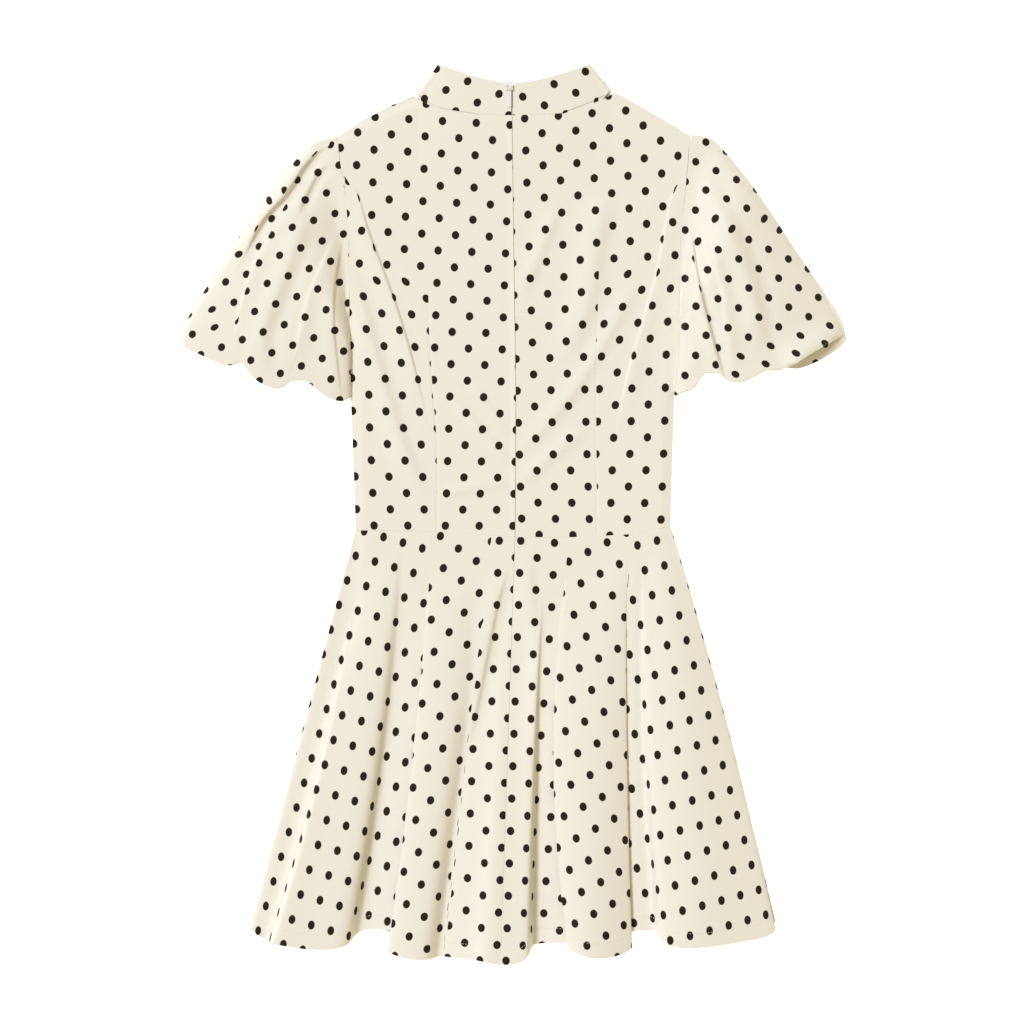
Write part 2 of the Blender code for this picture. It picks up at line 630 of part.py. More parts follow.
def collar_band():
    """Middle surface of the collar: rows from the neck seam up, columns from one end to the other."""
    stations = np.concatenate([collar_side(-1), collar_side(1)[-2::-1]])
    places = np.linspace(0, len(stations) - 1, COLLAR_COLUMNS)
    blended = blend_weights(len(stations), places) @ stations
    on_back = (places < BACK_STATIONS - 0.5) | (places > len(stations) - BACK_STATIONS - 0.5)
    seam_y = along_x(NECK_LINE, blended[:, 0]) + 2 * GAP
    blended[:, 1] = np.where(on_back, np.maximum(blended[:, 1], seam_y), blended[:, 1])
    shares = np.linspace(0, 1, COLLAR_ROWS)[:, None, None]
    return blended[None, :, 0:3] * (1 - shares) + blended[None, :, 3:6] * shares


def centre_height(y):
    """Height of the middle of the back along the centre back."""
    on_bodice = BACK_Z + (NECK_Z - BACK_Z) * smooth((y - NECK_RISE_Y) / NECK_RISE_LENGTH)
    on_collar = NECK_Z + COLLAR_RISE * smooth((y - NECK_SEAM_Y) / (COLLAR_TOP_Y - NECK_SEAM_Y))
    return np.where(y > NECK_SEAM_Y, on_collar, on_bodice)


def zip_tape():
    close_rows = np.linspace(TAPE_TOP_Y, TAPE_BEND_Y[0], TAPE_ROWS[0])
    wide_rows = np.linspace(TAPE_BEND_Y[1], TAPE_LOW_Y, TAPE_ROWS[1])
    rows = np.concatenate([close_rows, wide_rows])
    across = np.linspace(-0.5, 0.5, TAPE_COLUMNS) * TAPE_WIDTH
    grid = np.zeros((len(rows), len(across), 3))
    for row, y in enumerate(rows):
        height = centre_height(y) - HALF - 2 * GAP - TAPE / 2
        for column, offset in enumerate(across):
            grid[row, column] = (along_y(CENTRE_LINE, y) + offset, y, height)
    return grid


def make_box(name, low, high, bevel, material):
    """A box with rounded edges, from its lowest and highest corners."""
    low, high = np.array(low, float), np.array(high, float)
    shape = bmesh.new()
    bmesh.ops.create_cube(shape, size=1.0)
    for vertex in shape.verts:
        vertex.co = (low + (np.array(vertex.co) + 0.5) * (high - low)) * MM
    if bevel:
        bmesh.ops.bevel(
            shape, geom=shape.edges[:], offset=bevel * MM, segments=BEVEL_SEGMENTS, affect="EDGES",
            profile=0.5,
        )
    mesh = bpy.data.meshes.new(name)
    shape.to_mesh(mesh)
    shape.free()
    mesh.materials.append(material)
    obj = bpy.data.objects.new(name, mesh)
    bpy.context.collection.objects.link(obj)
    return obj


def make_rod(name, radius, low_x, high_x, y, z, material):
    """A rod along X."""
    shape = bmesh.new()
    turn = Matrix.Rotation(math.radians(90), 4, "Y")
    place = Matrix.Translation(((low_x + high_x) / 2 * MM, y * MM, z * MM)) @ turn
    bmesh.ops.create_cone(
        shape, cap_ends=True, segments=ROD_SEGMENTS, radius1=radius * MM, radius2=radius * MM,
        depth=(high_x - low_x) * MM, matrix=place,
    )
    mesh = bpy.data.meshes.new(name)
    shape.to_mesh(mesh)
    shape.free()
    mesh.materials.append(material)
    obj = bpy.data.objects.new(name, mesh)
    bpy.context.collection.objects.link(obj)
    return obj


def combine(target, helper, operation):
    """A Boolean of a hidden helper on the target."""
    helper.hide_render = True
    helper.display_type = "WIRE"
    modifier = target.modifiers.new(helper.name, "BOOLEAN")
    modifier.operation = operation
    modifier.object = helper


def make_slider(material):
    """Slider body: a plate on the collar, with two arms that hold a pin across the pull's eye."""
    left = PIVOT_X - PULL_WIDTH / 2 - GAP - ARM
    right = PIVOT_X + PULL_WIDTH / 2 + GAP + ARM
    low = (left, PIVOT_Y + EYE + GAP, PLATE_LOW_Z)
    high = (right, SLIDER_TOP_Y, PLATE_LOW_Z + PLATE)
    plate = make_box("zip_slider", low, high, PLATE_BEVEL, material)
    for index, inner in enumerate((left, right - ARM)):
        low = (inner, PIVOT_Y - EYE, PLATE_LOW_Z + ARM_LIFT)
        high = (inner + ARM, PIVOT_Y + EYE + ARM_LENGTH, PIVOT_Z + ARM_TOP)
        arm = make_box(f"slider_arm_{index}", low, high, 0, material)
        combine(plate, arm, "UNION")
    pin = make_rod("slider_pin", PIN, left + ARM / 2, right - ARM / 2, PIVOT_Y, PIVOT_Z, material)
    combine(plate, pin, "UNION")
    return plate


def make_pull(material):
    """Pull tab: an eye round the slider's pin and a narrow strip that points down the back."""
    low_x, high_x = PIVOT_X - PULL_WIDTH / 2, PIVOT_X + PULL_WIDTH / 2
    pull = make_rod("zip_pull", EYE, low_x, high_x, 0, 0, material)
    low = (low_x, -PULL_LENGTH, -EYE)
    high = (high_x, -EYE * 0.4, -EYE + PULL)
    strip = make_box("pull_strip", low, high, PULL_BEVEL, material)
    slope = Matrix.Rotation(math.radians(PULL_SLOPE), 4, "X")
    strip.data.transform(slope)
    hole = make_rod("pull_hole", PIN + GAP, low_x - GAP, high_x + GAP, 0, 0, material)
    combine(pull, strip, "UNION")
    combine(pull, hole, "DIFFERENCE")
    for obj in (pull, strip, hole):
        obj.location = (0, PIVOT_Y * MM, PIVOT_Z * MM)
    return pull


def make_zip(material, tape_material):
    make_wall("zip_tape", zip_tape(), tape_material, thickness=TAPE)
    make_slider(material)
    make_pull(material)


def build():
    clear_scene()
    cotton = make_material("dotted_cotton", CREAM, 0.85)
    tape = make_material("zip_tape", CREAM, 0.8)
    white = make_material("zip_white", ZIP_WHITE, 0.45)
    for side in ("left", "right"):
        make_wall(f"back_bodice_{side}", bodice_half(side), cotton)
        make_wall(f"skirt_back_{side}", skirt_half(side), cotton)
        make_wall(f"sleeve_{side}", sleeve(side), cotton, closed=True)
    make_flat_panel("front_bodice", front_bodice_outline(), cotton)
    make_flat_panel("skirt_front", front_skirt_outline(), cotton)
    make_wall("collar", collar_band(), cotton)
    make_zip(white, tape)


build()
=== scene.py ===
"""Looks of a short polka-dot dress that lies flat, back side up: cloth shells, print, seams and zip.

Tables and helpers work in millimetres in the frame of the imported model: +X to the right sleeve as it
lies, +Y towards the collar, +Z up from the surface that the dress lies on.
"""

import math
from collections import namedtuple

import bmesh
import bpy
import numpy as np
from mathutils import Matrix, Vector


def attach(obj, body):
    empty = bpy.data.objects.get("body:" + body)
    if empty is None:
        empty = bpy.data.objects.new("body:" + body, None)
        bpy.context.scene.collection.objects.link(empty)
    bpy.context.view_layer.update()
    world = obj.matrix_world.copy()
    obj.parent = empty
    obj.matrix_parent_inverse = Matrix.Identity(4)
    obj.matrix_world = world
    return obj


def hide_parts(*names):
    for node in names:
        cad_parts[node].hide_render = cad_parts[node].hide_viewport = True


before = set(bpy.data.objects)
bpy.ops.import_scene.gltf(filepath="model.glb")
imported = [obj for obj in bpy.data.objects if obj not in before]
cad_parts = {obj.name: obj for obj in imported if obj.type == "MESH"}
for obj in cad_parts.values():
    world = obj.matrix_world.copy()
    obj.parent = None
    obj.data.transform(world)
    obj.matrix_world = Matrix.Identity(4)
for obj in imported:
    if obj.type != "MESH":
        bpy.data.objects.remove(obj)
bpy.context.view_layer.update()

MM = 0.001

SIGN = {"left": -1.0, "right": 1.0}

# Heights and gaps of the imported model.
CLOTH = 1.2
GAP = 0.3
FLAT_Z = CLOTH / 2  # middle of a panel that lies on the surface
SEAM_Z = CLOTH + GAP + FLAT_Z  # middle of the back's edge where it meets the front
BACK_Z = 4.0
NECK_Z = 7.5
NECK_CORNER_X = 99.0
NECK_SIDE_DROP = 2.5  # how much lower the neck lies at its corners
NECK_DROP_POWER = 3
NECK_RISE_LENGTH = 100.0
COLLAR_RISE = 1.0
NECK_SEAM_Y = 413.0
COLLAR_TOP_Y = 446.0
WAIST_Y = -24.0
EDGE_ROUND = 16.0  # width over which the back drops to its sides and shoulders
# The left sleeve stands lower than its solid, for the photo's shadow beside it.
SLEEVE_HEIGHT = {"left": 16.0, "right": 25.0}
# Powers of its half-round section at the crown and at the body: higher is more pointed.
SLEEVE_DOME = {"left": (0.9, 0.5), "right": (1.5, 0.5)}
SLEEVE_START = 0.16  # share of the height at the armhole
SLEEVE_SWELL = 0.35  # share of the length over which it is reached
SLEEVE_SINK = 0.12  # share lost again towards the hem
SINK_FROM = 0.7
SINK_LENGTH = 0.3
SLEEVE_PLEATS_FROM = 0.08  # share of the length over which the pleats start
SLEEVE_SEAM = 0.12  # and over which the tube leaves the armhole's height
SLEEVE_HOLLOW = 1.3 * CLOTH  # least height of the hollow
BUBBLE_RETURN = 0.14  # share of the length that is turned back inside
BUBBLE_EDGE = (1.0, 0.997, 0.99)  # places of the first turned rows along the sleeve
BUBBLE_NEXT = 0.98
BUBBLE_DEPTH = 2.6  # how far inside the turned cloth lies
BUBBLE_SHARES = (0.5, 0.9, 2.5)  # share of that in the first row, its gain and the gain's speed
BUBBLE_OVERLAP = 0.8  # how far the turn hangs below the outer cloth
ARMPIT_Y = 198.0
ARMPIT_LENGTH = 40.0
WAIST_SIDE_DROP = 14.0  # width over which the waist drops to the side seam
SKIRT_RISE = 0.6  # how much faster than evenly a column starts to rise
FRONT_INSET = 1.0  # how far the front's edge lies inside the back's
FRONT_DROP = 1.5  # and below it
FRONT_SKIRT_INSET = 0.5
SHELL = 0.9  # thickness of a cloth shell
ALLOWANCE = 4.0  # seam allowance that runs on under the next piece
ALLOWANCE_DROP = 1.2
ALLOWANCE_END = 0.1  # share of it at the ends of a seam
ALLOWANCE_RISE = 8.0  # how fast the sleeve's grows from there
RIM_ANGLE = 55.0  # a sharper edge is shaded as one
TINY = 1e-9
CURVE_STEPS = 8  # straight steps of a curve between two of its points

# Outlines as (x, y), from the centre back outwards or from the top down.
CENTRE_LINE = ((-2, 446), (-2, 413), (-1, 325), (2, 118), (1, -24))
WAIST_LINE = ((-164, -17), (-80, -18), (-20, -22), (1, -24), (61, -24), (115, -21), (162, -13))
NECK_LINE = ((-99, 434), (-89, 427), (-77, 421), (-35, 414), (-2, 413), (48, 415), (79, 427), (99, 437))
SHOULDER_LINE = {
    "left": ((-99, 434), (-126, 423), (-156, 408), (-183, 391)),
    "right": ((99, 437), (126, 424), (155, 408), (182, 393)),
}
SIDE_LINE = {
    "left": ((-183, 391), (-180, 363), (-175, 335), (-171, 281), (-170, 190), (-169, 118), (-164, -17)),
    "right": ((182, 393), (180, 360), (176, 322), (173, 285), (170, 177), (166, 127), (162, -13)),
}
FRONT_NECK = (
    (-99, 434), (-86, 409), (-61, 386), (-30, 371), (0, 365), (30, 371), (61, 386), (86, 409), (99, 437),
)
FRONT_SKIRT_SIDE = {
    "left": ((-164, -17), (-218, -218), (-270, -420)),
    "right": ((162, -13), (173, -58), (196, -136), (223, -229), (247.5, -322), (272, -423)),
}
FRONT_HEM = (
    (271.5, -423), (235, -434), (190, -438), (156, -434), (135, -424), (118, -428), (96, -448), (62, -445),
    (38, -437), (14, -452), (-16, -457), (-46, -451), (-100, -452), (-128, -436), (-146, -423), (-166, -432),
    (-200, -441), (-240, -434), (-269.5, -420),
)

# The collar from the centre back to the centre front: the lower edge's x and height, then the top
# edge's x, y and height. The same rows, mirrored, make the other side.
COLLAR_STATIONS = (
    ("centre_back", 1.0, NECK_Z, 1.0, COLLAR_TOP_Y, NECK_Z + COLLAR_RISE),
    ("back", 33, NECK_Z, 25, 449, NECK_Z + COLLAR_RISE),
    ("back_side", 64, NECK_Z - 0.5, 54, 457, NECK_Z + 0.5),
    ("before_fold", 90, 6.5, 71, 464, 7.0),
    ("fold_high", 99.5, 5.4, 78, 466, 5.8),
    ("fold_middle", 102, 2.9, 79, 466, 3.1),
    ("fold_low", 99, FLAT_Z, 77, 465, FLAT_Z),
    ("after_fold", 92, FLAT_Z, 71, 458, FLAT_Z),
    ("front_side", 62, FLAT_Z, 48, 430, FLAT_Z),
    ("front", 31, FLAT_Z, 23, 415, FLAT_Z),
    ("centre_front", 0, FLAT_Z, 0, 409, FLAT_Z),
)
BACK_STATIONS = 4  # stations whose lower edge follows the back neck seam
FOLD_STATIONS = 3  # then those where the band turns under, above the neck's corner
FOLD_CLEARANCE = 1.2

# Skirt columns from the side seam to the centre back: the lobe whose grain the column follows, its x
# at the waist and the hem, the hem's y and height, the sideways bow half way down and the share of the
# length at which the column starts to leave the waist's height.
LEFT_COLUMNS = (
    ("side_seam", "a", -164, -273, -426, SEAM_Z, 0, 0),
    ("side_roll", "a", -164, -274, -430, 5.5, 0, 0),
    ("side_edge", "a", -162, -268, -435, 7, 0, 0.05),
    ("side_flat", "a", -160, -262, -439, 5.5, 4, 0.1),
    ("crease_low", "a", -156, -253, -441, 5, 9, 0.2),
    ("crease_high", "a", -155, -252, -443, 24, 10, 0.2),
    ("crease_top", "a", -152, -243, -444, 24, 9, 0.2),
    ("lobe_a", "a", -145, -216, -449, 22, 3, 0.1),
    ("a_right", "a", -130, -190, -450, 22, 4, 0.05),
    ("slope_top", "a", -119, -171, -446, 20, 6, 0.05),
    ("slope_low", "a", -116, -166, -435, 4, 7, 0.05),
    ("floor_left", "a", -111, -153, -430, 3, 6, 0.05),
    ("floor_ab", "a", -98, -140, -430, 6, 5, 0.1),
    ("tuck_in", "a", -90, -122, -431, 8, 3, 0.15),
    ("tuck_deep", "a", -86.5, -96, -436, 8, 0, 0.15),
    ("tuck_back", "b", -85.5, -102, -444, 12, 0, 0.15),
    ("b_edge", "b", -83, -135, -450, 16, 3, 0.1),
    ("b_left", "b", -79, -127, -454, 21, 5, 0.1),
    ("lobe_b", "b", -69, -106, -460, 23, 4, 0.1),
    ("b_right", "b", -50, -91, -460, 22, 4, 0.1),
    ("valley_left", "b", -34, -84, -459, 15, 2, 0.2),
    ("valley_low", "b", -26, -78, -457, 9, 0, 0.3),
    ("c_left", "c", -20, -70, -458, 12, 0, 0.3),
    ("crease_left", "c", -15, -43, -460, 16, 2, 0.3),
    ("crease_right", "c", -10, -34, -461, 22, 3, 0.3),
    ("lobe_c", "c", -5, -24, -464, 23, 3, 0.3),
    ("centre_back", "c", 1, -14, -465, 22, 0, 0.3),
)
RIGHT_COLUMNS = (
    ("side_seam", "e", 162, 270, -427, SEAM_Z, 5, 0),
    ("side_roll", "e", 162, 271, -432, 6, 5, 0),
    ("side_edge", "e", 160, 263, -438, 9, 5, 0.05),
    ("e_right", "e", 152, 236, -442, 14.5, 10, 0.05),
    ("e_mid", "e", 147, 209, -446, 20, 12, 0.05),
    ("lobe_e", "e", 142, 182, -448, 24, 12, 0.05),
    ("e_left", "e", 137, 159, -447, 22, -1, 0.1),
    ("slope_right", "e", 133, 151, -440, 18, -4, 0.1),
    ("floor_de", "e", 132, 147, -431, 2.5, -5, 0.1),
    ("floor_left", "e", 126, 133, -431, 7, -3, 0.05),
    ("tuck_under", "e", 121, 110, -434, 5, 0, 0.05),
    ("tuck_over", "d", 118, 106, -440, 6.5, 0, 0.05),
    ("d_roll", "d", 116, 125, -446, 10, -2, 0.05),
    ("d_high", "d", 112, 119, -452, 14, -3, 0.05),
    ("d_right", "d", 101, 101, -458, 20.5, -4, 0.05),
    ("lobe_d", "d", 87, 79, -459, 25, -6, 0.1),
    ("d_left", "d", 70, 61, -452, 22, -16, 0.1),
    ("d_edge", "d", 61, 52, -447, 16, -19, 0.1),
    ("tuck_back", "d", 59, 72, -448, 11, -18, 0.15),
    ("tuck_deep", "c", 56, 76, -446, 7, -17, 0.15),
    ("tuck_in", "c", 52, 52, -444, 7, -12, 0.15),
    ("floor_cd", "c", 47, 40, -444, 6, -9, 0.15),
    ("floor_left", "c", 40, 28, -445, 4, -5, 0.1),
    ("slope", "c", 34, 18, -446, 4, -3, 0.1),
    ("slope_high", "c", 32, 16, -453, 20, -2, 0.15),
    ("c_edge", "c", 27, 10, -462, 22, -2, 0.2),
    ("lobe_c", "c", 17, -2, -465, 22, -1, 0.3),
    ("centre_back", "c", 1, -14, -465, 22, 0, 0.3),
)
SKIRT_COLUMNS = {"left": LEFT_COLUMNS, "right": RIGHT_COLUMNS}

SLEEVES = {
    "left": {
        "crown": (
            (-183, 391), (-204, 386), (-216, 377), (-231, 361), (-257, 330),
            (-277, 299), (-317, 237), (-336, 206), (-343, 188),
        ),
        "underarm": ((-170.3, 196), (-169.5, 175), (-169, 121)),
        "hem": (
            (-343, 188), (-340, 174), (-322, 165), (-302, 156), (-292, 155), (-282, 158), (-276, 151),
            (-264, 138), (-247, 131), (-237, 133), (-231, 138), (-214, 138), (-196, 124), (-180, 118),
            (-169, 121),
        ),
        "under_hem": (
            (-343, 188), (-340, 176), (-322, 168), (-302, 159), (-292, 158), (-282, 161), (-264, 142),
            (-247, 135), (-231, 141), (-214, 141), (-196, 128), (-180, 122), (-169, 121),
        ),
    },
    "right": {
        "crown": (
            (182, 393), (198, 391), (210, 384), (236, 354), (262, 318),
            (289, 277), (316, 237), (337, 204), (343, 187),
        ),
        "underarm": ((170.8, 201), (169.6, 170), (166, 124)),
        "hem": (
            (343, 187), (317, 172), (303, 164), (289, 155), (279, 151), (269, 149), (259, 149), (246, 142),
            (236, 138), (224, 137), (216, 142), (210, 146), (196, 146), (190, 140), (184, 131), (166, 124),
        ),
        "under_hem": (
            (343, 187), (343, 181), (336, 173), (321, 163), (306, 156), (294, 152), (282, 153), (268, 151),
            (258, 151), (246, 145), (236, 141), (224, 140), (210, 149), (195, 149), (183, 134), (166, 124),
        ),
    },
}

# A fold runs along a line from the top down. Its crest falls off gently over high_width on one side of
# the line (high_side is 1 for +X, -1 for -X) and steeply over low_width on the other, where a valley
# may lie beside it.
Fold = namedtuple("Fold", "line high_side crest high_width low_width valley valley_width", defaults=(0, 1))
FOLD_FADE_IN = 0.25  # share of a fold's length over which it starts
FOLD_FADE_OUT = 0.3  # and over which it ends
FOLD_END = 1.05  # where it has gone
VALLEY_OFFSET = 0.8  # how far beyond the steep side the valley lies, in its widths

DRAG_FOLDS = {
    "left": Fold(((-176, 350), (-163, 332), (-152, 295), (-137, 255), (-120, 208), (-106, 160), (-92, 105)),
         -1, 2.4, 15, 0.9, 0.3, 8),
    "right": Fold(((182, 350), (166, 335), (158, 300), (148, 248), (133, 195), (120, 150), (108, 95)),
         1, 2.2, 14, 0.9, 0.3, 8),
}
BODICE_FOLDS = (
    Fold(((-170, 262), (-155, 203), (-135, 130), (-112, 60), (-88, 10)), -1, 2.4, 14, 7, 0.2, 8),
    Fold(((-66, 123), (-35, 87), (-3, 54)), -1, 1.1, 8, 4),
    Fold(((-46, 139), (-20, 102), (-2, 77)), -1, 0.8, 7, 4),
    Fold(((-80, 18), (-46, 27), (-1, 32)), 1, 1.2, 8, 5),
    Fold(((99, 346), (86, 290), (75, 220), (50, 154)), -1, 3.0, 16, 11),
    Fold(((48, 325), (28, 275), (6, 222)), -1, 1.8, 10, 7),
    Fold(((132, 252), (100, 190), (58, 123), (4, 61)), -1, 2.0, 10, 7),
    Fold(((79, 92), (45, 65), (4, 30)), -1, 1.5, 9, 7),
)
DARTS = {
    "left": ((-89, 245), (-88, 188), (-84, 123), (-80, 76), (-80, -18)),
    "right": ((88, 257), (86, 188), (85, 115), (86, -18)),
}
SKIRT_FOLDS = (
    Fold(((-6, -50), (-20, -101), (-34, -172), (-48, -240)), -1, 2.4, 14, 2.4, 1.6, 9),
    Fold(((12, -38), (19, -110), (20, -150)), -1, 1.4, 10, 6),
)
SLEEVE_FOLDS = {
    "left": (
        Fold(((-181, 386), (-201, 377), (-217, 362), (-238, 330), (-262, 302), (-282, 262)),
             -1, 8, 10, 1.3, 6, 7),
        Fold(((-228, 336), (-251, 294), (-266, 263), (-279, 227), (-289, 180)), 1, 2.0, 12, 1.4),
        Fold(((-180, 365), (-201, 357), (-216, 330), (-224, 310)), -1, 3, 7, 1.6, 2.6, 5),
        Fold(((-211, 323), (-242, 240), (-261, 188), (-258, 142)), -1, 3, 14, 9, 1, 8),
        Fold(((-184, 290), (-203, 245), (-213, 220), (-226, 160)), 1, 1.8, 10, 2),
        Fold(((-176, 300), (-186, 242), (-187, 194), (-183, 150), (-179, 112)), -1, 3, 12, 1.4),
    ),
    "right": (
        Fold(((181, 310), (189, 242), (200, 194), (210, 159), (217, 134)), -1, 4.5, 9, 1.5, 2.5, 5),
        Fold(((192, 310), (207, 258), (216, 225), (218, 200), (226, 147)), 1, 2.4, 10, 1.8),
        Fold(((186, 366), (203, 330), (224, 284), (242, 235), (255, 160)), -1, 4, 14, 10, 1, 8),
        Fold(((206, 380), (229, 351), (246, 330), (262, 306)), -1, 2.0, 8, 1.4),
        Fold(((181, 384), (192, 381), (204, 377)), 1, 1.6, 6, 1.2, 0.8, 4),
        Fold(((348, 191), (341, 187), (314, 172), (288, 156), (276, 150)), -1, 9, 16, 1.2),
    ),
}
TUCKED_SLEEVE_FOLDS = {"left": (0, 1), "right": (0,)}  # those that hide cloth

# Print: a centred lattice of dots on the flat cloth, cut with its grain down the middle of the back.
DOT_ACROSS = 35.0
DOT_DOWN = 33.3
DOT_RADIUS = 4.1
DOT_STRETCH = 1.05  # dots are this much longer down the cloth, and narrower across it
# A first dot of each piece, and the turn of its grain in degrees.
PIECE_PRINT = {
    "bodice_left": ((-28, 221), -2), "bodice_right": ((36, 195), 2), "sleeve_left": ((-229, 296), -24),
    "sleeve_right": ((240.5, 316), 19), "collar_left": ((-48, 448), -22), "collar_right": ((9, 432), 22),
    "front": ((0, 0), 0),
}
ROW_FAN = {"left": -0.008, "right": 0.012}  # degrees that the rows turn for each millimetre up
# How the cloth of each lobe has slipped: across, up, and turned anticlockwise about its middle.
LOBE_SLIP = {
    "left": {"a": (0, -15, 0), "b": (-3, -4, -4), "c": (6, -4, -3.5)},
    "right": {"e": (-9.5, 3.5, -3.5), "d": (2.5, -4.5, -1), "c": (6, -4, 0)},
}
LOBE_CUT = 4.0  # how much narrower than a column the change between lobes is
WAIST_RADIUS = 212.0  # of the waist seam on the flat cloth of the skirt
ROW_TURN = 0.87  # how far the rows of dots turn with the waist's arc
LINE_TURN = 0.5  # and the lines of dots down the skirt, since cloth gives on the bias
DART_TAKE = 32.0  # cloth that a dart takes up at the waist
DART_CURVE = 0.6  # power of the distance below its tip that it follows
FOLD_TUCK = 10.0  # cloth hidden in a sharp fold
FOLD_TURN = 1.2  # half the width over which the print changes there
TUCK_FADE = 0.2  # share of a sleeve fold's length over which that starts and ends
SLEEVE_EASE = 1.05

# Darts and the zip's edges.
DART_SHARE = 0.47  # share of a half's columns from the centre back to the dart
DART_CUT = 0.0008  # the step in which the print jumps over the dart's cloth
DART_LEAN = 0.02  # how far the columns lean out above the dart, for each millimetre up
DART_GROOVE = 0.3
DART_GROOVE_WIDTH = 1.2
DART_START = 0.3  # share of its length over which the groove starts
ZIP_LAP = 0.7  # how much higher the left edge lies at the zip
ZIP_LAP_WIDTH = 7.0

# Counts of rows and columns, the hem and its stitches.
BODICE_COLUMNS = 230
BODICE_ROWS = 208
SKIRT_ROWS = 120
HEM_ROWS = 24
HEM_SHARE = 0.962  # where the closer rows of the hem start
HEM_STEPS = 3  # points of the front's hem for each in its table
SKIRT_STEPS = 9  # columns for each row of the skirt table
SKIRT_SEAM = 0.1  # half the gap at the centre back of the skirt
SLEEVE_TOP = 150
SLEEVE_BOTTOM = 50
SLEEVE_ROWS = 110
BUBBLE_ROWS = 14
COLLAR_COLUMNS = 360
COLLAR_ROWS = 24
STITCH_ROW = 122  # the skirt's row that they follow
STITCH_PITCH = 3.2
STITCH_LENGTH = 2.3
STITCH_RADIUS = 0.22
STITCH_SPREAD = 1.3  # how much wider than high it is
STITCH_LIFT = 0.3  # how far it stands out of the cloth, in its radius
STITCH_AIM = 0.5  # half the length that gives its direction


# Curves and surfaces.


def smooth(value):
    value = np.clip(value, 0.0, 1.0)
    return value * value * (3 - 2 * value)


def along_x(line, x):
    """The y of a line given by points, at x."""
    points = np.array(sorted(line), float)
    return np.interp(x, points[:, 0], points[:, 1])


def along_y(line, y):
    """The x of a line given by points, at y."""
    points = np.array(sorted(line, key=lambda point: point[1]), float)
    return np.interp(y, points[:, 1], points[:, 0])


def along_length(line, share):
    """Points at the given shares of a polyline's length."""
    points = np.array(line, float)
    steps = np.linalg.norm(np.diff(points, axis=0), axis=1)
    lengths = np.concatenate([[0.0], np.cumsum(steps)]) / steps.sum()
    return np.stack([np.interp(share, lengths, column) for column in points.T], axis=-1)


def blend_weights(count, places):
    """Weights of a clamped uniform cubic B-spline: one row for each place from 0 to count - 1."""
    padded = np.zeros((len(places), count + 2))
    for row, place in enumerate(places):
        start = min(int(math.floor(place)), count - 2)
        u = place - start
        padded[row, start: start + 4] = (
            (1 - u) ** 3 / 6,
            (3 * u**3 - 6 * u**2 + 4) / 6,
            (-3 * u**3 + 3 * u**2 + 3 * u + 1) / 6,
            u**3 / 6,
        )
    weights = padded[:, 1:-1].copy()
    for end, second in ((0, 1), (-1, -2)):
        weights[:, end] += 2 * padded[:, end]
        weights[:, second] -= padded[:, end]
    return weights


def smooth_line(points):
    """A curve through all the points, as short straight steps."""
    points = np.array(points, float)
    padded = np.concatenate([[2 * points[0] - points[1]], points, [2 * points[-1] - points[-2]]])
    curve = []
    for index in range(1, len(points)):
        a, b, c, d = padded[index - 1: index + 3]
        for t in np.linspace(0, 1, CURVE_STEPS, endpoint=False):
            square = (2 * a - 5 * b + 4 * c - d) * t**2
            cube = (3 * b - a - 3 * c + d) * t**3
            curve.append(0.5 * (2 * b + (c - a) * t + square + cube))
    curve.append(points[-1])
    return np.array(curve)


def signed_distance(x, y, line):
    """Distance to a curve, positive on its +X side where it runs down, and the place along it."""
    points = smooth_line(line)
    steps = np.linalg.norm(np.diff(points, axis=0), axis=1)
    starts = np.concatenate([[0.0], np.cumsum(steps)])
    nearest = np.full(np.shape(x), np.inf)
    place = np.zeros(np.shape(x))
    side = np.zeros(np.shape(x))
    for index, step in enumerate(steps):
        first = points[index]
        ahead = (points[index + 1] - first) / step
        away_x, away_y = x - first[0], y - first[1]
        foot = np.clip(away_x * ahead[0] + away_y * ahead[1], 0.0, step)
        away = np.hypot(away_x - foot * ahead[0], away_y - foot * ahead[1])
        closer = away < nearest
        nearest = np.where(closer, away, nearest)
        place = np.where(closer, (starts[index] + foot) / starts[-1], place)
        side = np.where(closer, np.sign(ahead[0] * away_y - ahead[1] * away_x), side)
    return nearest * side, place


def fold_height(x, y, fold):
    """Height that one fold adds at each point."""
    away, place = signed_distance(x, y, fold.line)
    fade = smooth(place / FOLD_FADE_IN) * smooth((FOLD_END - place) / FOLD_FADE_OUT)
    away = away * fold.high_side
    width = np.where(away > 0, fold.high_width, fold.low_width)
    height = fold.crest * np.exp(-((away / width) ** 2))
    if fold.valley:
        beside = fold.low_width + VALLEY_OFFSET * fold.valley_width
        height = height - fold.valley * np.exp(-(((away + beside) / fold.valley_width) ** 2))
    return height * fade


def grid_normals(grid, closed):
    """Unit normals of a surface of rows and columns, whose last column may join its first."""
    down = np.gradient(grid, axis=0)
    if closed:
        across = np.roll(grid, -1, axis=1) - np.roll(grid, 1, axis=1)
    else:
        across = np.gradient(grid, axis=1)
    normals = np.cross(across, down)
    return normals / np.maximum(np.linalg.norm(normals, axis=2, keepdims=True), TINY)


# Meshes.


def link_object(name, data):
    obj = bpy.data.objects.new(name, data)
    bpy.context.scene.collection.objects.link(obj)
    return obj


def add_print(mesh, print_mm):
    """Give a mesh the flat coordinates that the cotton's pattern follows."""
    flat = np.zeros((len(mesh.vertices), 3), np.float32)
    flat[:, :2] = print_mm
    attribute = mesh.attributes.new("print_mm", "FLOAT_VECTOR", "POINT")
    attribute.data.foreach_set("vector", flat.ravel())


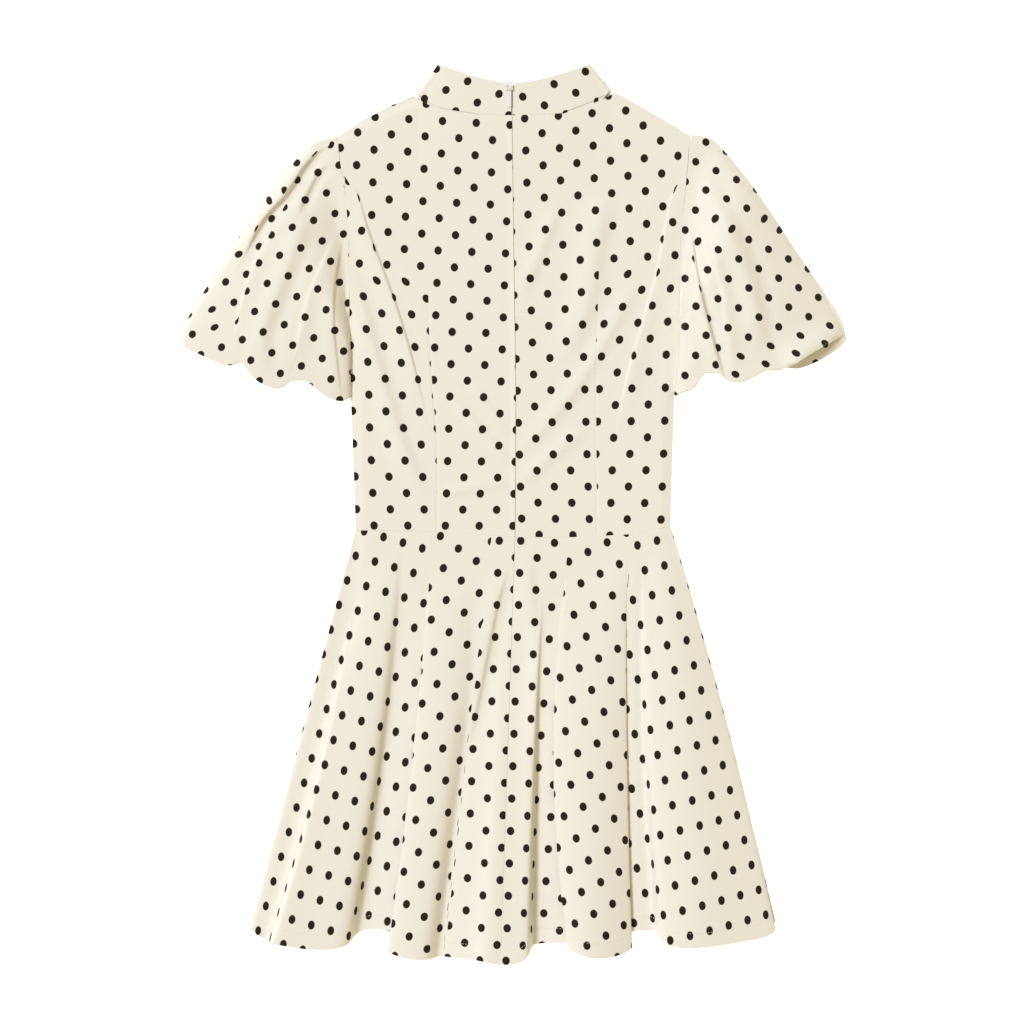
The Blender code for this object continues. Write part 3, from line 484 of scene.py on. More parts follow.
def make_mesh(name, points, faces, material, print_mm=None):
    """An object from points in millimetres and faces, shaded smooth."""
    mesh = bpy.data.meshes.new(name)
    mesh.from_pydata((np.asarray(points) * MM).tolist(), [], np.asarray(faces).tolist())
    mesh.materials.append(material)
    mesh.shade_smooth()
    mesh.set_sharp_from_angle(angle=math.radians(RIM_ANGLE))
    if print_mm is not None:
        add_print(mesh, print_mm)
    return link_object(name, mesh)


def quads(first, second, third, fourth):
    return np.stack([first, second, third, fourth], axis=-1).reshape(-1, 4)


def make_shell(name, grid, print_grid, material, closed=False):
    """A cloth wall about a surface of rows and columns, with rims along its open edges."""
    normals = grid_normals(grid, closed)
    if normals[..., 2].mean() < 0:
        normals = -normals
    upper = grid + normals * SHELL / 2
    lower = grid - normals * SHELL / 2
    points = np.concatenate([upper.reshape(-1, 3), lower.reshape(-1, 3)])
    points[:, 2] = np.maximum(points[:, 2], 0.0)
    prints = np.concatenate([print_grid.reshape(-1, 2)] * 2)
    total = grid.shape[0] * grid.shape[1]
    index = np.arange(total).reshape(grid.shape[:2])
    if closed:
        index = np.concatenate([index, index[:, :1]], axis=1)
    a, b, c, d = index[:-1, :-1], index[:-1, 1:], index[1:, 1:], index[1:, :-1]
    faces = [quads(a, b, c, d), quads(d, c, b, a) + total]
    rims = [index[0], index[-1, ::-1]]
    if not closed:
        rims += [index[::-1, 0], index[:, -1]]
    for rim in rims:
        faces.append(quads(rim[1:], rim[:-1], rim[:-1] + total, rim[1:] + total))
    obj = make_mesh(name, points, np.concatenate(faces), material, prints)
    shape = bmesh.new()
    shape.from_mesh(obj.data)
    if shape.calc_volume(signed=True) < 0:
        bmesh.ops.reverse_faces(shape, faces=shape.faces)
    shape.to_mesh(obj.data)
    shape.free()
    return obj


def with_allowance(grid, flat, direction):
    """A surface and its print with a seam allowance, which runs on under a neighbour."""
    drop = np.linalg.norm(direction, axis=-1, keepdims=True) * (0, 0, -ALLOWANCE_DROP)
    dip = grid[0] + direction * GAP + drop
    under = grid[0] + direction * ALLOWANCE + drop
    return np.concatenate([[under, dip], grid]), np.concatenate([flat[:1], flat[:1], flat])


def along_rows(grid):
    """Distance along each row of a surface."""
    steps = np.linalg.norm(np.diff(grid, axis=1), axis=2)
    return np.concatenate([np.zeros((len(grid), 1)), np.cumsum(steps, axis=1)], axis=1)


# Print.


def turned_print(x, y, dot, row_turn, line_turn=None):
    """Flat coordinates of cloth with a dot at one point, its rows and its lines of dots turned."""
    rows = math.radians(row_turn)
    lines = math.radians(row_turn if line_turn is None else line_turn)
    steps = np.array([[math.cos(rows), math.sin(lines)], [math.sin(rows), -math.cos(lines)]])
    away = np.stack([x - dot[0], y - dot[1]], axis=-1)
    return away @ np.linalg.inv(steps).T


def piece_print(x, y, name):
    return turned_print(x, y, *PIECE_PRINT[name])


def beyond_fold(x, y, fold, sign):
    """How far points lie outward of a fold's line, from 0 to 1, and their places along it."""
    away, place = signed_distance(x, y, fold.line)
    return smooth((away * sign + FOLD_TURN) / (2 * FOLD_TURN)), place


# Bodice.


def back_height(x, y, side):
    """Height of the middle of the back bodice."""
    past_corner = np.maximum(np.abs(x) - NECK_CORNER_X, 0)
    neck_z = NECK_Z - NECK_SIDE_DROP * np.minimum(np.abs(x) / NECK_CORNER_X, 1) ** NECK_DROP_POWER
    from_neck = np.hypot(past_corner, along_x(NECK_LINE, x) - y)
    height = BACK_Z + (neck_z - BACK_Z) * smooth(1 - from_neck / NECK_RISE_LENGTH)
    for fold in (*BODICE_FOLDS, *DRAG_FOLDS.values()):
        height = height + fold_height(x, y, fold)
    dart, place = signed_distance(x, y, DARTS[side])
    groove = DART_GROOVE * smooth(place / DART_START)
    height = height - groove * np.exp(-((dart / DART_GROOVE_WIDTH) ** 2))
    above_armpit = smooth((y - ARMPIT_Y) / ARMPIT_LENGTH)
    from_side = np.abs(along_y(SIDE_LINE[side], y) - x) + 2 * EDGE_ROUND * above_armpit
    before_corner = np.maximum(NECK_CORNER_X - np.abs(x), 0)
    from_shoulder = np.hypot(before_corner, along_x(SHOULDER_LINE[side], x) - y)
    inside = np.minimum(from_side, from_shoulder)
    return SEAM_Z + (height - SEAM_Z) * smooth((inside + EDGE_ROUND / 4) / EDGE_ROUND)


def bodice_print(x, y, side, past_dart):
    """Flat coordinates of a bodice half: its rows fan, and its dart and drag fold hide cloth."""
    name = f"bodice_{side}"
    dot_x, dot_y = PIECE_PRINT[name][0]
    flat = piece_print(x, y, name)
    flat[..., 1] += (x - dot_x) * np.radians(ROW_FAN[side] * (y - dot_y))
    dart_top = DARTS[side][0][1]
    below_top = np.clip((dart_top - y) / (dart_top - WAIST_Y), 0, 1)
    beyond, place = beyond_fold(x, y, DRAG_FOLDS[side], SIGN[side])
    hidden = past_dart * DART_TAKE * below_top**DART_CURVE + FOLD_TUCK * beyond * (1 - place)
    flat[..., 0] += SIGN[side] * hidden
    return flat


def bodice_half(side):
    """A back bodice half and its print: rows down, columns from the centre back to the side."""
    top_line = NECK_LINE + SHOULDER_LINE[side]
    sign = SIGN[side]
    first = np.linspace(0, DART_SHARE, BODICE_COLUMNS // 2)
    second = np.linspace(DART_SHARE, 1, BODICE_COLUMNS // 2)
    second[0] += DART_CUT
    shares = np.concatenate([first, second])
    start_x, tip_x = CENTRE_LINE[1][0], SIDE_LINE[side][0][0]
    top_y = along_x(top_line, start_x + shares * (tip_x - start_x)) - GAP / 2
    waist_x = along_y(CENTRE_LINE, WAIST_Y) * (1 - shares) + SIDE_LINE[side][-1][0] * shares
    waist_y = along_x(WAIST_LINE, waist_x) + GAP / 2
    depth = np.linspace(0, 1, BODICE_ROWS)[:, None]
    y = top_y + (waist_y - top_y) * depth
    centre_x = along_y(CENTRE_LINE, y) + sign * GAP / 2
    side_x = along_y(SIDE_LINE[side], y)
    dart_top, dart_end = DARTS[side][0][1], DARTS[side][-1][1]
    dart_x = along_y(DARTS[side], np.clip(y, dart_end, dart_top))
    dart_x = dart_x + np.clip(y - dart_top, 0, None) * DART_LEAN * sign
    inner = centre_x + (dart_x - centre_x) * shares / DART_SHARE
    outer = dart_x + (side_x - dart_x) * (shares - DART_SHARE) / (1 - DART_SHARE)
    x = np.where(shares <= DART_SHARE, inner, outer)
    grid = np.stack([x, y, back_height(x, y, side)], axis=-1)
    grid[..., 2] += ZIP_LAP * (sign < 0) * smooth(1 - np.abs(x - centre_x) / ZIP_LAP_WIDTH)
    return grid, bodice_print(x, y, side, np.broadcast_to(shares > DART_SHARE, x.shape))


# Skirt.


def skirt_surface(side):
    """A back skirt half: rows from waist to hem, columns from the side to the centre."""
    table = SKIRT_COLUMNS[side]
    waist_x, hem_x, hem_y, lift, bow, onset = np.array([row[2:] for row in table], float).T
    waist_x[-1] = along_y(CENTRE_LINE, WAIST_Y)
    waist_x[-1] += SIGN[side] * SKIRT_SEAM
    hem_x[-1] += SIGN[side] * SKIRT_SEAM
    from_side = np.abs(waist_x - SIDE_LINE[side][-1][0])
    waist_z = SEAM_Z + (BACK_Z - SEAM_Z) * smooth(from_side / WAIST_SIDE_DROP)
    places = np.linspace(0, len(table) - 1, (len(table) - 1) * SKIRT_STEPS + 1)
    weights = blend_weights(len(table), places).T
    upper = np.linspace(0, HEM_SHARE, SKIRT_ROWS, endpoint=False)
    depth = np.concatenate([upper, np.linspace(HEM_SHARE, 1, HEM_ROWS)])[:, None]
    rise = np.clip((depth - onset) / (1 - onset), 0, 1)
    rise = rise * (1 + SKIRT_RISE - SKIRT_RISE * rise)
    x = (waist_x + (hem_x - waist_x) * depth + bow * 4 * depth * (1 - depth)) @ weights
    waist_y = along_x(WAIST_LINE, waist_x @ weights) - GAP / 2
    y = waist_y + (hem_y @ weights - waist_y) * depth
    z = (waist_z + (lift - waist_z) * rise) @ weights
    for fold in SKIRT_FOLDS:
        z = z + fold_height(x, y, fold)
    return np.stack([x, y, np.maximum(z, SEAM_Z)], axis=-1)


def skirt_print(grid, side):
    """Flat coordinates of a skirt half: each lobe is turned as its place on the waist's arc is."""
    names, lobes = list(zip(*SKIRT_COLUMNS[side]))[:2]
    along = -SIGN[side] * along_rows(grid)
    places = np.linspace(0, len(names) - 1, grid.shape[1])
    first = np.minimum(np.floor(places).astype(int), len(names) - 2)
    turn = smooth((places - first - 0.5) * LOBE_CUT + 0.5)
    centre_x = along_y(CENTRE_LINE, WAIST_Y)
    flat = np.zeros(grid.shape[:2] + (2,))
    for lobe in dict.fromkeys(lobes):
        ridge = names.index(f"lobe_{lobe}") * SKIRT_STEPS
        slip_x, slip_y, slip_turn = LOBE_SLIP[side][lobe]
        start = grid[0, ridge, :2] + (slip_x, slip_y)
        middle = grid[SKIRT_ROWS // 2, ridge, :2]
        angle = (grid[0, ridge, 0] - centre_x) / WAIST_RADIUS
        spread_x = grid[:, [ridge], 0] + along - along[:, [ridge]]
        rows, lines = -ROW_TURN * math.degrees(angle), -LINE_TURN * math.degrees(angle)
        lobe_flat = turned_print(spread_x, grid[..., 1], middle, rows + slip_turn, lines + slip_turn)
        lobe_flat += turned_print(*middle, start, rows, lines)
        lobe_flat += WAIST_RADIUS * np.array([math.sin(angle), math.cos(angle) - 1])
        member = np.array([float(name == lobe) for name in lobes])
        share = member[first] * (1 - turn) + member[first + 1] * turn
        flat += lobe_flat * share[None, :, None]
    return flat


# Sleeves.


def sleeve_height(point, depth, share, side):
    """Height of a sleeve's upper side: a dome that swells from the armhole, and folds."""
    sink = SLEEVE_SINK * smooth((depth - SINK_FROM) / SINK_LENGTH)
    swell = SLEEVE_START + (1 - SLEEVE_START) * smooth(depth / SLEEVE_SWELL) - sink
    round_share = 2 * np.sqrt(np.maximum(share * (1 - share), 0.0))
    relief = sum(fold_height(point[..., 0], point[..., 1], fold) for fold in SLEEVE_FOLDS[side])
    relief = relief * smooth(depth / SLEEVE_PLEATS_FROM)
    dome = round_share ** np.where(share < 0.5, *SLEEVE_DOME[side])
    top = SLEEVE_HEIGHT[side] * swell * dome + relief * round_share
    return FLAT_Z + np.maximum(top, SLEEVE_HOLLOW * round_share) + (1 - round_share)


def sleeve_surface(side, length_shares, top_shares, bottom_shares):
    """A sleeve tube: rows from armhole to hem, columns once round."""
    spec = SLEEVES[side]
    out = np.array([SIGN[side] * (GAP + SHELL / 4), 0.0])
    shoulder, underarm = spec["crown"][0], spec["underarm"][0]
    armhole = [point for point in SIDE_LINE[side] if underarm[1] < point[1] < shoulder[1]]
    armhole = smooth_line([shoulder, *armhole, underarm]) + out
    crown = smooth_line(spec["crown"]) + out
    inner = smooth_line(spec["underarm"]) + out
    shares = np.concatenate([top_shares, bottom_shares])
    on_top = np.arange(len(shares)) < len(top_shares)
    hems = [along_length(smooth_line(spec[name]) + out, shares) for name in ("hem", "under_hem")]
    hem = np.where(on_top[:, None], *hems)
    depth = np.minimum(length_shares, 1.0)[:, None, None]
    crown_at = along_length(crown, depth[:, 0, 0])[:, None, :]
    inner_at = along_length(inner, depth[:, 0, 0])[:, None, :]
    share = shares[None, :, None]
    point = (1 - depth) * along_length(armhole, shares) + depth * hem
    point = point + (1 - share) * crown_at + share * inner_at
    corners = (1 - depth) * ((1 - share) * armhole[0] + share * armhole[-1])
    corners = corners + depth * ((1 - share) * crown[-1] + share * inner[-1])
    point = point - corners
    depth, share = depth[..., 0], share[..., 0]
    seam_x, seam_y = along_length(armhole, shares).T
    seam_z = back_height(seam_x - out[0], seam_y, side)
    at_seam = 1 - smooth(depth / SLEEVE_SEAM)
    top = sleeve_height(point, depth, share, side) * (1 - at_seam) + seam_z * at_seam
    return np.concatenate([point, np.where(on_top, top, FLAT_Z)[..., None]], axis=-1)


def sleeve_print(x, y, side):
    """Flat coordinates of a sleeve, with the cloth that its sharp folds hide."""
    flat = piece_print(x, y, f"sleeve_{side}") * SLEEVE_EASE
    for index in TUCKED_SLEEVE_FOLDS[side]:
        beyond, place = beyond_fold(x, y, SLEEVE_FOLDS[side][index], SIGN[side])
        fade = smooth(place / TUCK_FADE) * smooth((1 - place) / TUCK_FADE)
        flat[..., 0] += SIGN[side] * FOLD_TUCK * beyond * fade
    return flat


def sleeve(side):
    """The tube, and the cloth turned in at its hem, as one surface."""
    top = (1 - np.cos(np.linspace(0, math.pi, SLEEVE_TOP))) / 2
    bottom = (1 - np.cos(np.linspace(math.pi, 0, SLEEVE_BOTTOM + 2)[1:-1])) / 2
    outer = sleeve_surface(side, np.linspace(0, 1, SLEEVE_ROWS), top, bottom)
    further = np.linspace(BUBBLE_NEXT, 1 - BUBBLE_RETURN, BUBBLE_ROWS - len(BUBBLE_EDGE))
    inside = sleeve_surface(side, np.concatenate([BUBBLE_EDGE, further]), top, bottom)
    normals = grid_normals(inside, closed=True)
    if normals[:, :SLEEVE_TOP, 2].mean() < 0:
        normals = -normals
    first, gain, speed = BUBBLE_SHARES
    depths = BUBBLE_DEPTH * (first + gain * smooth(np.linspace(0, 1, BUBBLE_ROWS) * speed))
    inside = inside - normals * depths[:, None, None]
    inside[0, :, 1] -= BUBBLE_OVERLAP
    grid = np.concatenate([outer, inside])
    flat = sleeve_print(grid[..., 0], grid[..., 1], side)
    tucked = np.full(len(top) + len(bottom), ALLOWANCE_END)
    tucked[:len(top)] += (1 - ALLOWANCE_END) * smooth(ALLOWANCE_RISE * top * (1 - top))
    return with_allowance(grid, flat, tucked[:, None] * (-SIGN[side], 0, 0))


# Collar.


def collar_side(sign):
    """The collar's stations on one side, as rows of lower x, y, z and top x, y, z."""
    rows = []
    corner_y = along_x(NECK_LINE, sign * NECK_CORNER_X)
    for index, station in enumerate(COLLAR_STATIONS):
        low_x, low_z, top_x, top_y, top_z = station[1:]
        if index < BACK_STATIONS:
            low_y = along_x(NECK_LINE, sign * low_x) + GAP / 2
        elif index < BACK_STATIONS + FOLD_STATIONS:
            low_y = corner_y + FOLD_CLEARANCE
        else:
            low_y = along_x(FRONT_NECK, sign * low_x) + 2 * GAP
        rows.append((sign * low_x, low_y, low_z, sign * top_x, top_y, top_z))
    rows = np.array(rows)
    rows[0, [0, 3]] += along_y(CENTRE_LINE, NECK_SEAM_Y)
    return rows


def collar_band():
    """The collar and its print: rows from the neck seam up, columns from end to end."""
    stations = np.concatenate([collar_side(-1), collar_side(1)[-2::-1]])
    places = np.linspace(0, len(stations) - 1, COLLAR_COLUMNS)
    band = blend_weights(len(stations), places) @ stations
    from_end = np.minimum(places, places[-1] - places)
    on_back = smooth(BACK_STATIONS - from_end)
    seam_x = band[:, 0]
    seam_y = along_x(NECK_LINE, seam_x) + GAP / 2
    seam_z = np.where(seam_x < 0, *[back_height(seam_x, seam_y - GAP, side) for side in SIGN])
    band[:, 1] += (seam_y - band[:, 1]) * on_back
    band[:, 2] += (seam_z - band[:, 2]) * on_back
    shares = np.linspace(0, 1, COLLAR_ROWS)[:, None, None]
    grid = band[None, :, 0:3] * (1 - shares) + band[None, :, 3:6] * shares
    x, y = grid[..., 0], grid[..., 1]
    on_left = x < along_y(CENTRE_LINE, NECK_SEAM_Y)
    flat = np.where(on_left[..., None], *[piece_print(x, y, f"collar_{side}") for side in SIGN])
    tucked = ALLOWANCE_END + (1 - ALLOWANCE_END) * on_back
    return with_allowance(grid, flat, tucked[:, None] * (0, -1, 0))


# Front panels.


def front_panel(outline, name, material):
    """A flat panel under the back: its outline filled, with its print."""
    shape = bmesh.new()
    ring = [shape.verts.new((*(point * MM), FLAT_Z * MM)) for point in np.array(outline, float)]
    shape.faces.new(ring)
    bmesh.ops.triangulate(shape, faces=shape.faces[:], quad_method="BEAUTY", ngon_method="BEAUTY")
    mesh = bpy.data.meshes.new(name)
    shape.to_mesh(mesh)
    shape.free()
    mesh.materials.append(material)
    points = np.array([v.co for v in mesh.vertices]) / MM
    add_print(mesh, piece_print(points[:, 0], points[:, 1], "front"))
    obj = link_object(name, mesh)
    wall = obj.modifiers.new("wall", "SOLIDIFY")
    wall.thickness = SHELL * MM
    wall.offset = 0
    return obj


def front_bodice_outline():
    """The neck, then down the right side, across the waist and up the left side."""
    neck = [(x, y - FRONT_INSET) for x, y in FRONT_NECK]
    waist = [(x, y + GAP) for x, y in WAIST_LINE[1:-1]]
    sides = {}
    for side, sign in SIGN.items():
        line = SHOULDER_LINE[side][1:] + SIDE_LINE[side][1:]
        sides[side] = [(x - sign * FRONT_INSET, y - FRONT_DROP) for x, y in line]
        end_x = sides[side][-1][0]
        sides[side][-1] = (end_x, along_x(WAIST_LINE, end_x) + GAP)
    return neck + sides["right"] + waist[::-1] + sides["left"][::-1]


def front_skirt_outline():
    """Down the right side, along the hem, up the left side and across the waist."""
    left, right = (
        [(x - sign * FRONT_SKIRT_INSET, y - GAP) for x, y in FRONT_SKIRT_SIDE[side]]
        for side, sign in SIGN.items()
    )
    places = np.linspace(0, len(FRONT_HEM) - 1, HEM_STEPS * (len(FRONT_HEM) - 1) + 1)[1:-1]
    hem = list(blend_weights(len(FRONT_HEM), places) @ np.array(FRONT_HEM, float))
    waist = [(x, y - GAP) for x, y in WAIST_LINE[1:-1]]
    return right + hem + left[::-1] + waist


# Stitches.


def stitch_mesh():
    """One stitch along X at the origin: a small capsule, as points and triangles."""
    shape = bmesh.new()
    bmesh.ops.create_icosphere(shape, subdivisions=1, radius=1.0)
    points = np.array([vertex.co for vertex in shape.verts])
    faces = np.array([[vertex.index for vertex in face.verts] for face in shape.faces])
    shape.free()
    return points * (STITCH_LENGTH / 2, STITCH_RADIUS * STITCH_SPREAD, STITCH_RADIUS), faces


def at_length(length, lengths, rows):
    """The row of values at one length along a line."""
    return np.array([np.interp(length, lengths, column) for column in rows.T])


def stitch_row(name, grid, row, material):
    """A row of stitches on the outer side of a surface, joined as one mesh."""
    normals = grid_normals(grid, False)[row]
    normals = normals * np.sign(normals[:, 2].mean())
    line = grid[row] + normals * (SHELL / 2 + STITCH_RADIUS * STITCH_LIFT)
    lengths = along_rows(line[None])[0]
    points, faces = [], []
    unit, triangles = stitch_mesh()
    for middle in np.arange(STITCH_PITCH, lengths[-1] - STITCH_PITCH, STITCH_PITCH):
        start = at_length(middle - STITCH_AIM, lengths, line)
        end = at_length(middle + STITCH_AIM, lengths, line)
        along = end - start
        along = along / np.linalg.norm(along)
        side = np.cross(at_length(middle, lengths, normals), along)
        side = side / np.linalg.norm(side)
        turn = np.stack([along, side, np.cross(along, side)])
        faces.append(triangles + len(unit) * len(points))
        points.append((start + end) / 2 + unit @ turn)
    return make_mesh(name, np.concatenate(points), np.concatenate(faces), material)


# Materials.


CREAM = (0.853, 0.809, 0.711, 1.0)
CREAM_DEEP = (0.815, 0.768, 0.657, 1.0)
INK = (0.011, 0.0048, 0.0006, 1.0)
INK_WORN = (0.020, 0.0102, 0.003, 1.0)
THREAD = 0.42  # pitch of the weave in millimetres
WEAVE_WAVER = 0.7
WAVE_RADIANS = 20.0  # how fast Blender's wave texture runs at a scale of 1
STREAK_LONG = 0.05  # scale of the threads' unevenness along them
STREAK_SHORT = 1.3  # and across them
STREAK_BUMP = 2.0  # its height against the weave's
DOT_EDGE = 0.45  # width of a dot's soft edge
FRAY = 0.35  # how far the edge wavers
FRAY_SCALE = 1.4
COTTON_ROUGHNESS = 0.82
COTTON_SPECULAR = 0.25
COTTON_SHEEN = 0.08
SHEEN_ROUGHNESS = 0.5
COTTON_BUMP = (0.35, 0.05)  # strength and distance
# Thread and tape: colours, roughness, bands for each metre, their waver and bump.
Banded = namedtuple("Banded", "light dark roughness scale waver bump")
THREAD_BANDS = Banded((0.86, 0.80, 0.68, 1.0), (0.74, 0.67, 0.53, 1.0), 0.6, 900.0, 1.0, (0.3, 0.05))
TAPE_BANDS = Banded((0.80, 0.74, 0.62, 1.0), (0.70, 0.63, 0.50, 1.0), 0.7, 450.0, 0.5, (0.4, 0.1))
ENAMEL = (0.86, 0.86, 0.84, 1.0)
ENAMEL_WORN = (0.76, 0.75, 0.72, 1.0)
ENAMEL_ROUGHNESS = 0.35
ENAMEL_WEAR = {"To Min": 0.25, "To Max": 0.5}
ENAMEL_MOTTLE = 600.0
ENAMEL_BUMP = (0.15, 0.05)


def node(tree, kind, inputs=None, **settings):
    """A shader node; inputs are links from sockets, or plain values."""
    made = tree.nodes.new(kind)
    for key, value in settings.items():
        setattr(made, key, value)
    for key, value in (inputs or {}).items():
        if isinstance(value, bpy.types.NodeSocket):
            tree.links.new(value, made.inputs[key])
        else:
            made.inputs[key].default_value = value
    return made


def maths(tree, operation, *values):
    return node(tree, "ShaderNodeMath", dict(enumerate(values)), operation=operation).outputs[0]


def mix_colours(tree, share, first, second):
    return node(tree, "ShaderNodeMix", {0: share, 6: first, 7: second}, data_type="RGBA").outputs[2]


def map_range(tree, value, limits, **settings):
    return node(tree, "ShaderNodeMapRange", {"Value": value, **limits}, **settings).outputs["Result"]


def noise(tree, where, scale, detail):
    inputs = {"Vector": where, "Scale": scale, "Detail": detail}
    return node(tree, "ShaderNodeTexNoise", inputs).outputs["Fac"]


def bands(tree, where, direction, scale, waver, detail=2.0):
    inputs = {"Vector": where, "Scale": scale, "Distortion": waver, "Detail": detail}
    return node(tree, "ShaderNodeTexWave", inputs, bands_direction=direction).outputs["Fac"]


def on_object(tree):
    return node(tree, "ShaderNodeTexCoord").outputs["Object"]


def start_material(name, roughness):
    material = bpy.data.materials.new(name)
    material.use_nodes = True
    shader = material.node_tree.nodes["Principled BSDF"]
    shader.inputs["Roughness"].default_value = roughness
    return material, material.node_tree, shader


def paint(tree, shader, share, first, second):
    """Colour a material between two colours by a share from 0 to 1."""
    tree.links.new(mix_colours(tree, share, first, second), shader.inputs["Base Color"])


def bump(tree, shader, height, strength, distance):
    inputs = {"Height": height, "Strength": strength, "Distance": distance * MM}
    tree.links.new(node(tree, "ShaderNodeBump", inputs).outputs["Normal"], shader.inputs["Normal"])


def lattice_distance(tree, across, down, shift):
    """Distance in millimetres from the nearest point of one half of the dots' lattice."""
    axes = ((across, DOT_ACROSS, DOT_ACROSS * DOT_STRETCH), (down, DOT_DOWN, DOT_DOWN / DOT_STRETCH))
    parts = []
    for value, pitch, reach in axes:
        turns = maths(tree, "ADD", maths(tree, "DIVIDE", value, pitch), shift)
        offset = maths(tree, "SUBTRACT", turns, maths(tree, "ROUND", turns))
        parts.append(maths(tree, "POWER", maths(tree, "MULTIPLY", offset, reach), 2.0))
    return maths(tree, "SQRT", maths(tree, "ADD", *parts))


def streaks(tree, where, scale):
    """Uneven threads: noise that is stretched along one direction of the cloth."""
    stretched = node(tree, "ShaderNodeMapping", {"Vector": where, "Scale": scale}).outputs[0]
    return noise(tree, stretched, 1.0, 3.0)


def weave_height(tree, where):
    """Height of a plain weave: threads both ways, a little uneven."""
    scale = 2 * math.pi / (WAVE_RADIANS * THREAD)
    both_ways = [bands(tree, where, axis, scale, WEAVE_WAVER, detail=1.0) for axis in ("X", "Y")]
    return maths(tree, "MULTIPLY", *both_ways)


def dot_share(tree, where):
    """1 inside the printed dots and 0 outside, with a slightly frayed edge."""
    split = node(tree, "ShaderNodeSeparateXYZ", {"Vector": where})
    halves = [lattice_distance(tree, split.outputs["X"], split.outputs["Y"], shift) for shift in (0.0, 0.5)]
    fray = maths(tree, "MULTIPLY", noise(tree, where, FRAY_SCALE, 2.0), FRAY)
    near = maths(tree, "ADD", maths(tree, "MINIMUM", *halves), fray)
    limits = {"From Min": DOT_RADIUS, "From Max": DOT_RADIUS + DOT_EDGE, "To Min": 1.0, "To Max": 0.0}
    return map_range(tree, near, limits, interpolation_type="SMOOTHSTEP")


def dotted_cotton():
    """Plain-woven cream cotton with printed dots; its pattern follows the flat cloth."""
    material, tree, shader = start_material("dotted_cotton", COTTON_ROUGHNESS)
    where = node(tree, "ShaderNodeAttribute", attribute_name="print_mm").outputs["Vector"]
    inked = dot_share(tree, where)
    weft = streaks(tree, where, (STREAK_LONG, STREAK_SHORT, 1.0))
    warp = streaks(tree, where, (STREAK_SHORT, STREAK_LONG, 1.0))
    threads = maths(tree, "MULTIPLY", maths(tree, "ADD", weft, warp), 0.5)
    ground = mix_colours(tree, threads, CREAM, CREAM_DEEP)
    ink = mix_colours(tree, threads, INK, INK_WORN)
    paint(tree, shader, inked, ground, ink)
    uneven = maths(tree, "MULTIPLY", threads, STREAK_BUMP)
    bump(tree, shader, maths(tree, "ADD", weave_height(tree, where), uneven), *COTTON_BUMP)
    shader.inputs["Specular IOR Level"].default_value = COTTON_SPECULAR
    shader.inputs["Sheen Weight"].default_value = COTTON_SHEEN
    shader.inputs["Sheen Roughness"].default_value = SHEEN_ROUGHNESS
    return material


def banded_material(name, spec):
    """Fine diagonal bands of two colours."""
    material, tree, shader = start_material(name, spec.roughness)
    ribs = bands(tree, on_object(tree), "DIAGONAL", spec.scale, spec.waver)
    paint(tree, shader, ribs, spec.light, spec.dark)
    bump(tree, shader, ribs, *spec.bump)
    return material


def sewing_thread():
    """Twisted cream thread."""
    return banded_material("sewing_thread", THREAD_BANDS)


def woven_tape():
    """The zip's tape: fine herringbone of cream polyester."""
    return banded_material("woven_tape", TAPE_BANDS)


def zip_enamel():
    """White enamel on a cast slider, slightly mottled in colour and gloss."""
    material, tree, shader = start_material("zip_enamel", ENAMEL_ROUGHNESS)
    mottle = noise(tree, on_object(tree), ENAMEL_MOTTLE, 4.0)
    paint(tree, shader, mottle, ENAMEL, ENAMEL_WORN)
    tree.links.new(map_range(tree, mottle, ENAMEL_WEAR), shader.inputs["Roughness"])
    bump(tree, shader, mottle, *ENAMEL_BUMP)
    return material


# Pieces.


def place_piece(obj, nodes=(), body="dress"):
    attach(obj, body)
    if nodes:
        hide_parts(*nodes)
    return obj


def make_side(side, cotton, thread):
    grid, flat = bodice_half(side)
    obj = place_piece(make_shell(f"bodice_{side}", grid, flat, cotton), [f"back_bodice_{side}"])
    hung = skirt_surface(side)
    from_side = np.abs(hung[0, :, 0] - SIDE_LINE[side][-1][0])
    tucked = ALLOWANCE_END + (1 - ALLOWANCE_END) * smooth(from_side / EDGE_ROUND - 1)
    grid, flat = with_allowance(hung, skirt_print(hung, side), tucked[:, None] * (0, 1, 0))
    obj = place_piece(make_shell(f"skirt_{side}", grid, flat, cotton), [f"skirt_back_{side}"])
    stitches = place_piece(stitch_row(f"hem_stitches_{side}", hung, STITCH_ROW, thread))
    grid, flat = sleeve(side)
    obj = place_piece(make_shell(f"puff_{side}", grid, flat, cotton, closed=True), [f"sleeve_{side}"])


def make_dress():
    cotton = dotted_cotton()
    thread = sewing_thread()
    for side in ("left", "right"):
        make_side(side, cotton, thread)
    grid, flat = collar_band()
    obj = place_piece(make_shell("stand_collar", grid, flat, cotton), ["collar"])
    front = place_piece(front_panel(front_bodice_outline(), "bodice_front", cotton), ["front_bodice"])
    front = place_piece(front_panel(front_skirt_outline(), "skirt_under", cotton), ["skirt_front"])


def finish_zip():
    tape, enamel = woven_tape(), zip_enamel()
    for name, material in (("zip_tape", tape), ("zip_slider", enamel), ("zip_pull", enamel)):
        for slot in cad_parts[name].material_slots:
            slot.material = material


# Stage.


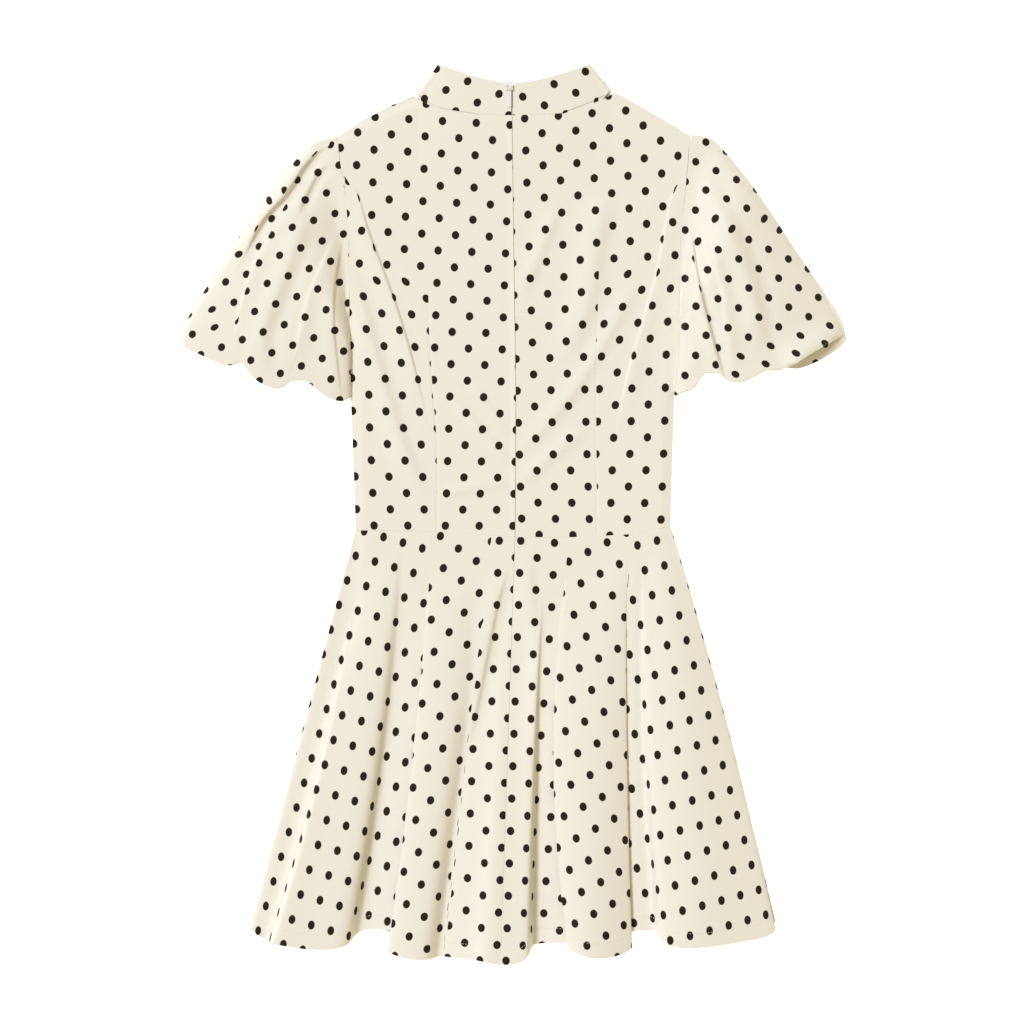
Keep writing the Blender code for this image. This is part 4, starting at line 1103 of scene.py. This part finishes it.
FLOOR_WHITE = (0.9, 0.9, 0.9, 1.0)
FLOOR_ROUGHNESS = 0.9
FLOOR_GLOW = 0.75
FLOOR_HALF = 6.0  # metres, as the rest of the stage
FLOOR_DROP = 0.0002
CAMERA_HEIGHT = 3.2
CAMERA_RAISE = 0.008
VIEW_WIDTH = 1.0602
VIEW_CENTRE = (-0.0021, 0.0021)
SENSOR_MM = 36.0
WORLD_COLOUR = (1.0, 0.86, 0.55, 1.0)
WORLD_STRENGTH = 0.555
KEY_COLOUR = (0.705, 0.80, 1.0)
KEY_DIRECTION = (-0.62, 0.30, 1.0)
KEY_STRENGTH = 2.63
KEY_ANGLE = 16


def make_floor():
    """A white floor that glows a little, so that it stays white."""
    material, shader = start_material("floor_white", FLOOR_ROUGHNESS)[::2]
    shader.inputs["Base Color"].default_value = FLOOR_WHITE
    shader.inputs["Emission Color"].default_value = (1.0, 1.0, 1.0, 1.0)
    shader.inputs["Emission Strength"].default_value = FLOOR_GLOW
    mesh = bpy.data.meshes.new("floor")
    corners = [(x * FLOOR_HALF, y * FLOOR_HALF, 0) for x, y in ((-1, -1), (1, -1), (1, 1), (-1, 1))]
    mesh.from_pydata(corners, [], [(0, 1, 2, 3)])
    mesh.materials.append(material)
    floor = link_object("floor", mesh)
    floor.location.z = -FLOOR_DROP


def make_sun():
    """A soft sun from above the upper left."""
    data = bpy.data.lights.new("key", "SUN")
    data.color = KEY_COLOUR
    data.energy = KEY_STRENGTH
    data.angle = math.radians(KEY_ANGLE)
    light = link_object("key", data)
    light.rotation_euler = (-Vector(KEY_DIRECTION)).to_track_quat("-Z", "Y").to_euler()


def make_camera():
    """A camera straight above, with the photo's width in view at the height of the cloth."""
    data = bpy.data.cameras.new("camera")
    data.sensor_width = SENSOR_MM
    data.lens = SENSOR_MM * CAMERA_HEIGHT / VIEW_WIDTH
    camera = link_object("camera", data)
    camera.location = (*VIEW_CENTRE, CAMERA_HEIGHT + CAMERA_RAISE)
    bpy.context.scene.camera = camera


def light_scene():
    """Neutral colours, an even warm world and the cooler key light."""
    scene = bpy.context.scene
    scene.view_settings.view_transform = "Standard"
    world = bpy.data.worlds.new("studio")
    world.use_nodes = True
    back = world.node_tree.nodes["Background"]
    back.inputs["Color"].default_value = WORLD_COLOUR
    back.inputs["Strength"].default_value = WORLD_STRENGTH
    scene.world = world
    make_sun()


make_dress()
finish_zip()
make_floor()
make_camera()
light_scene()
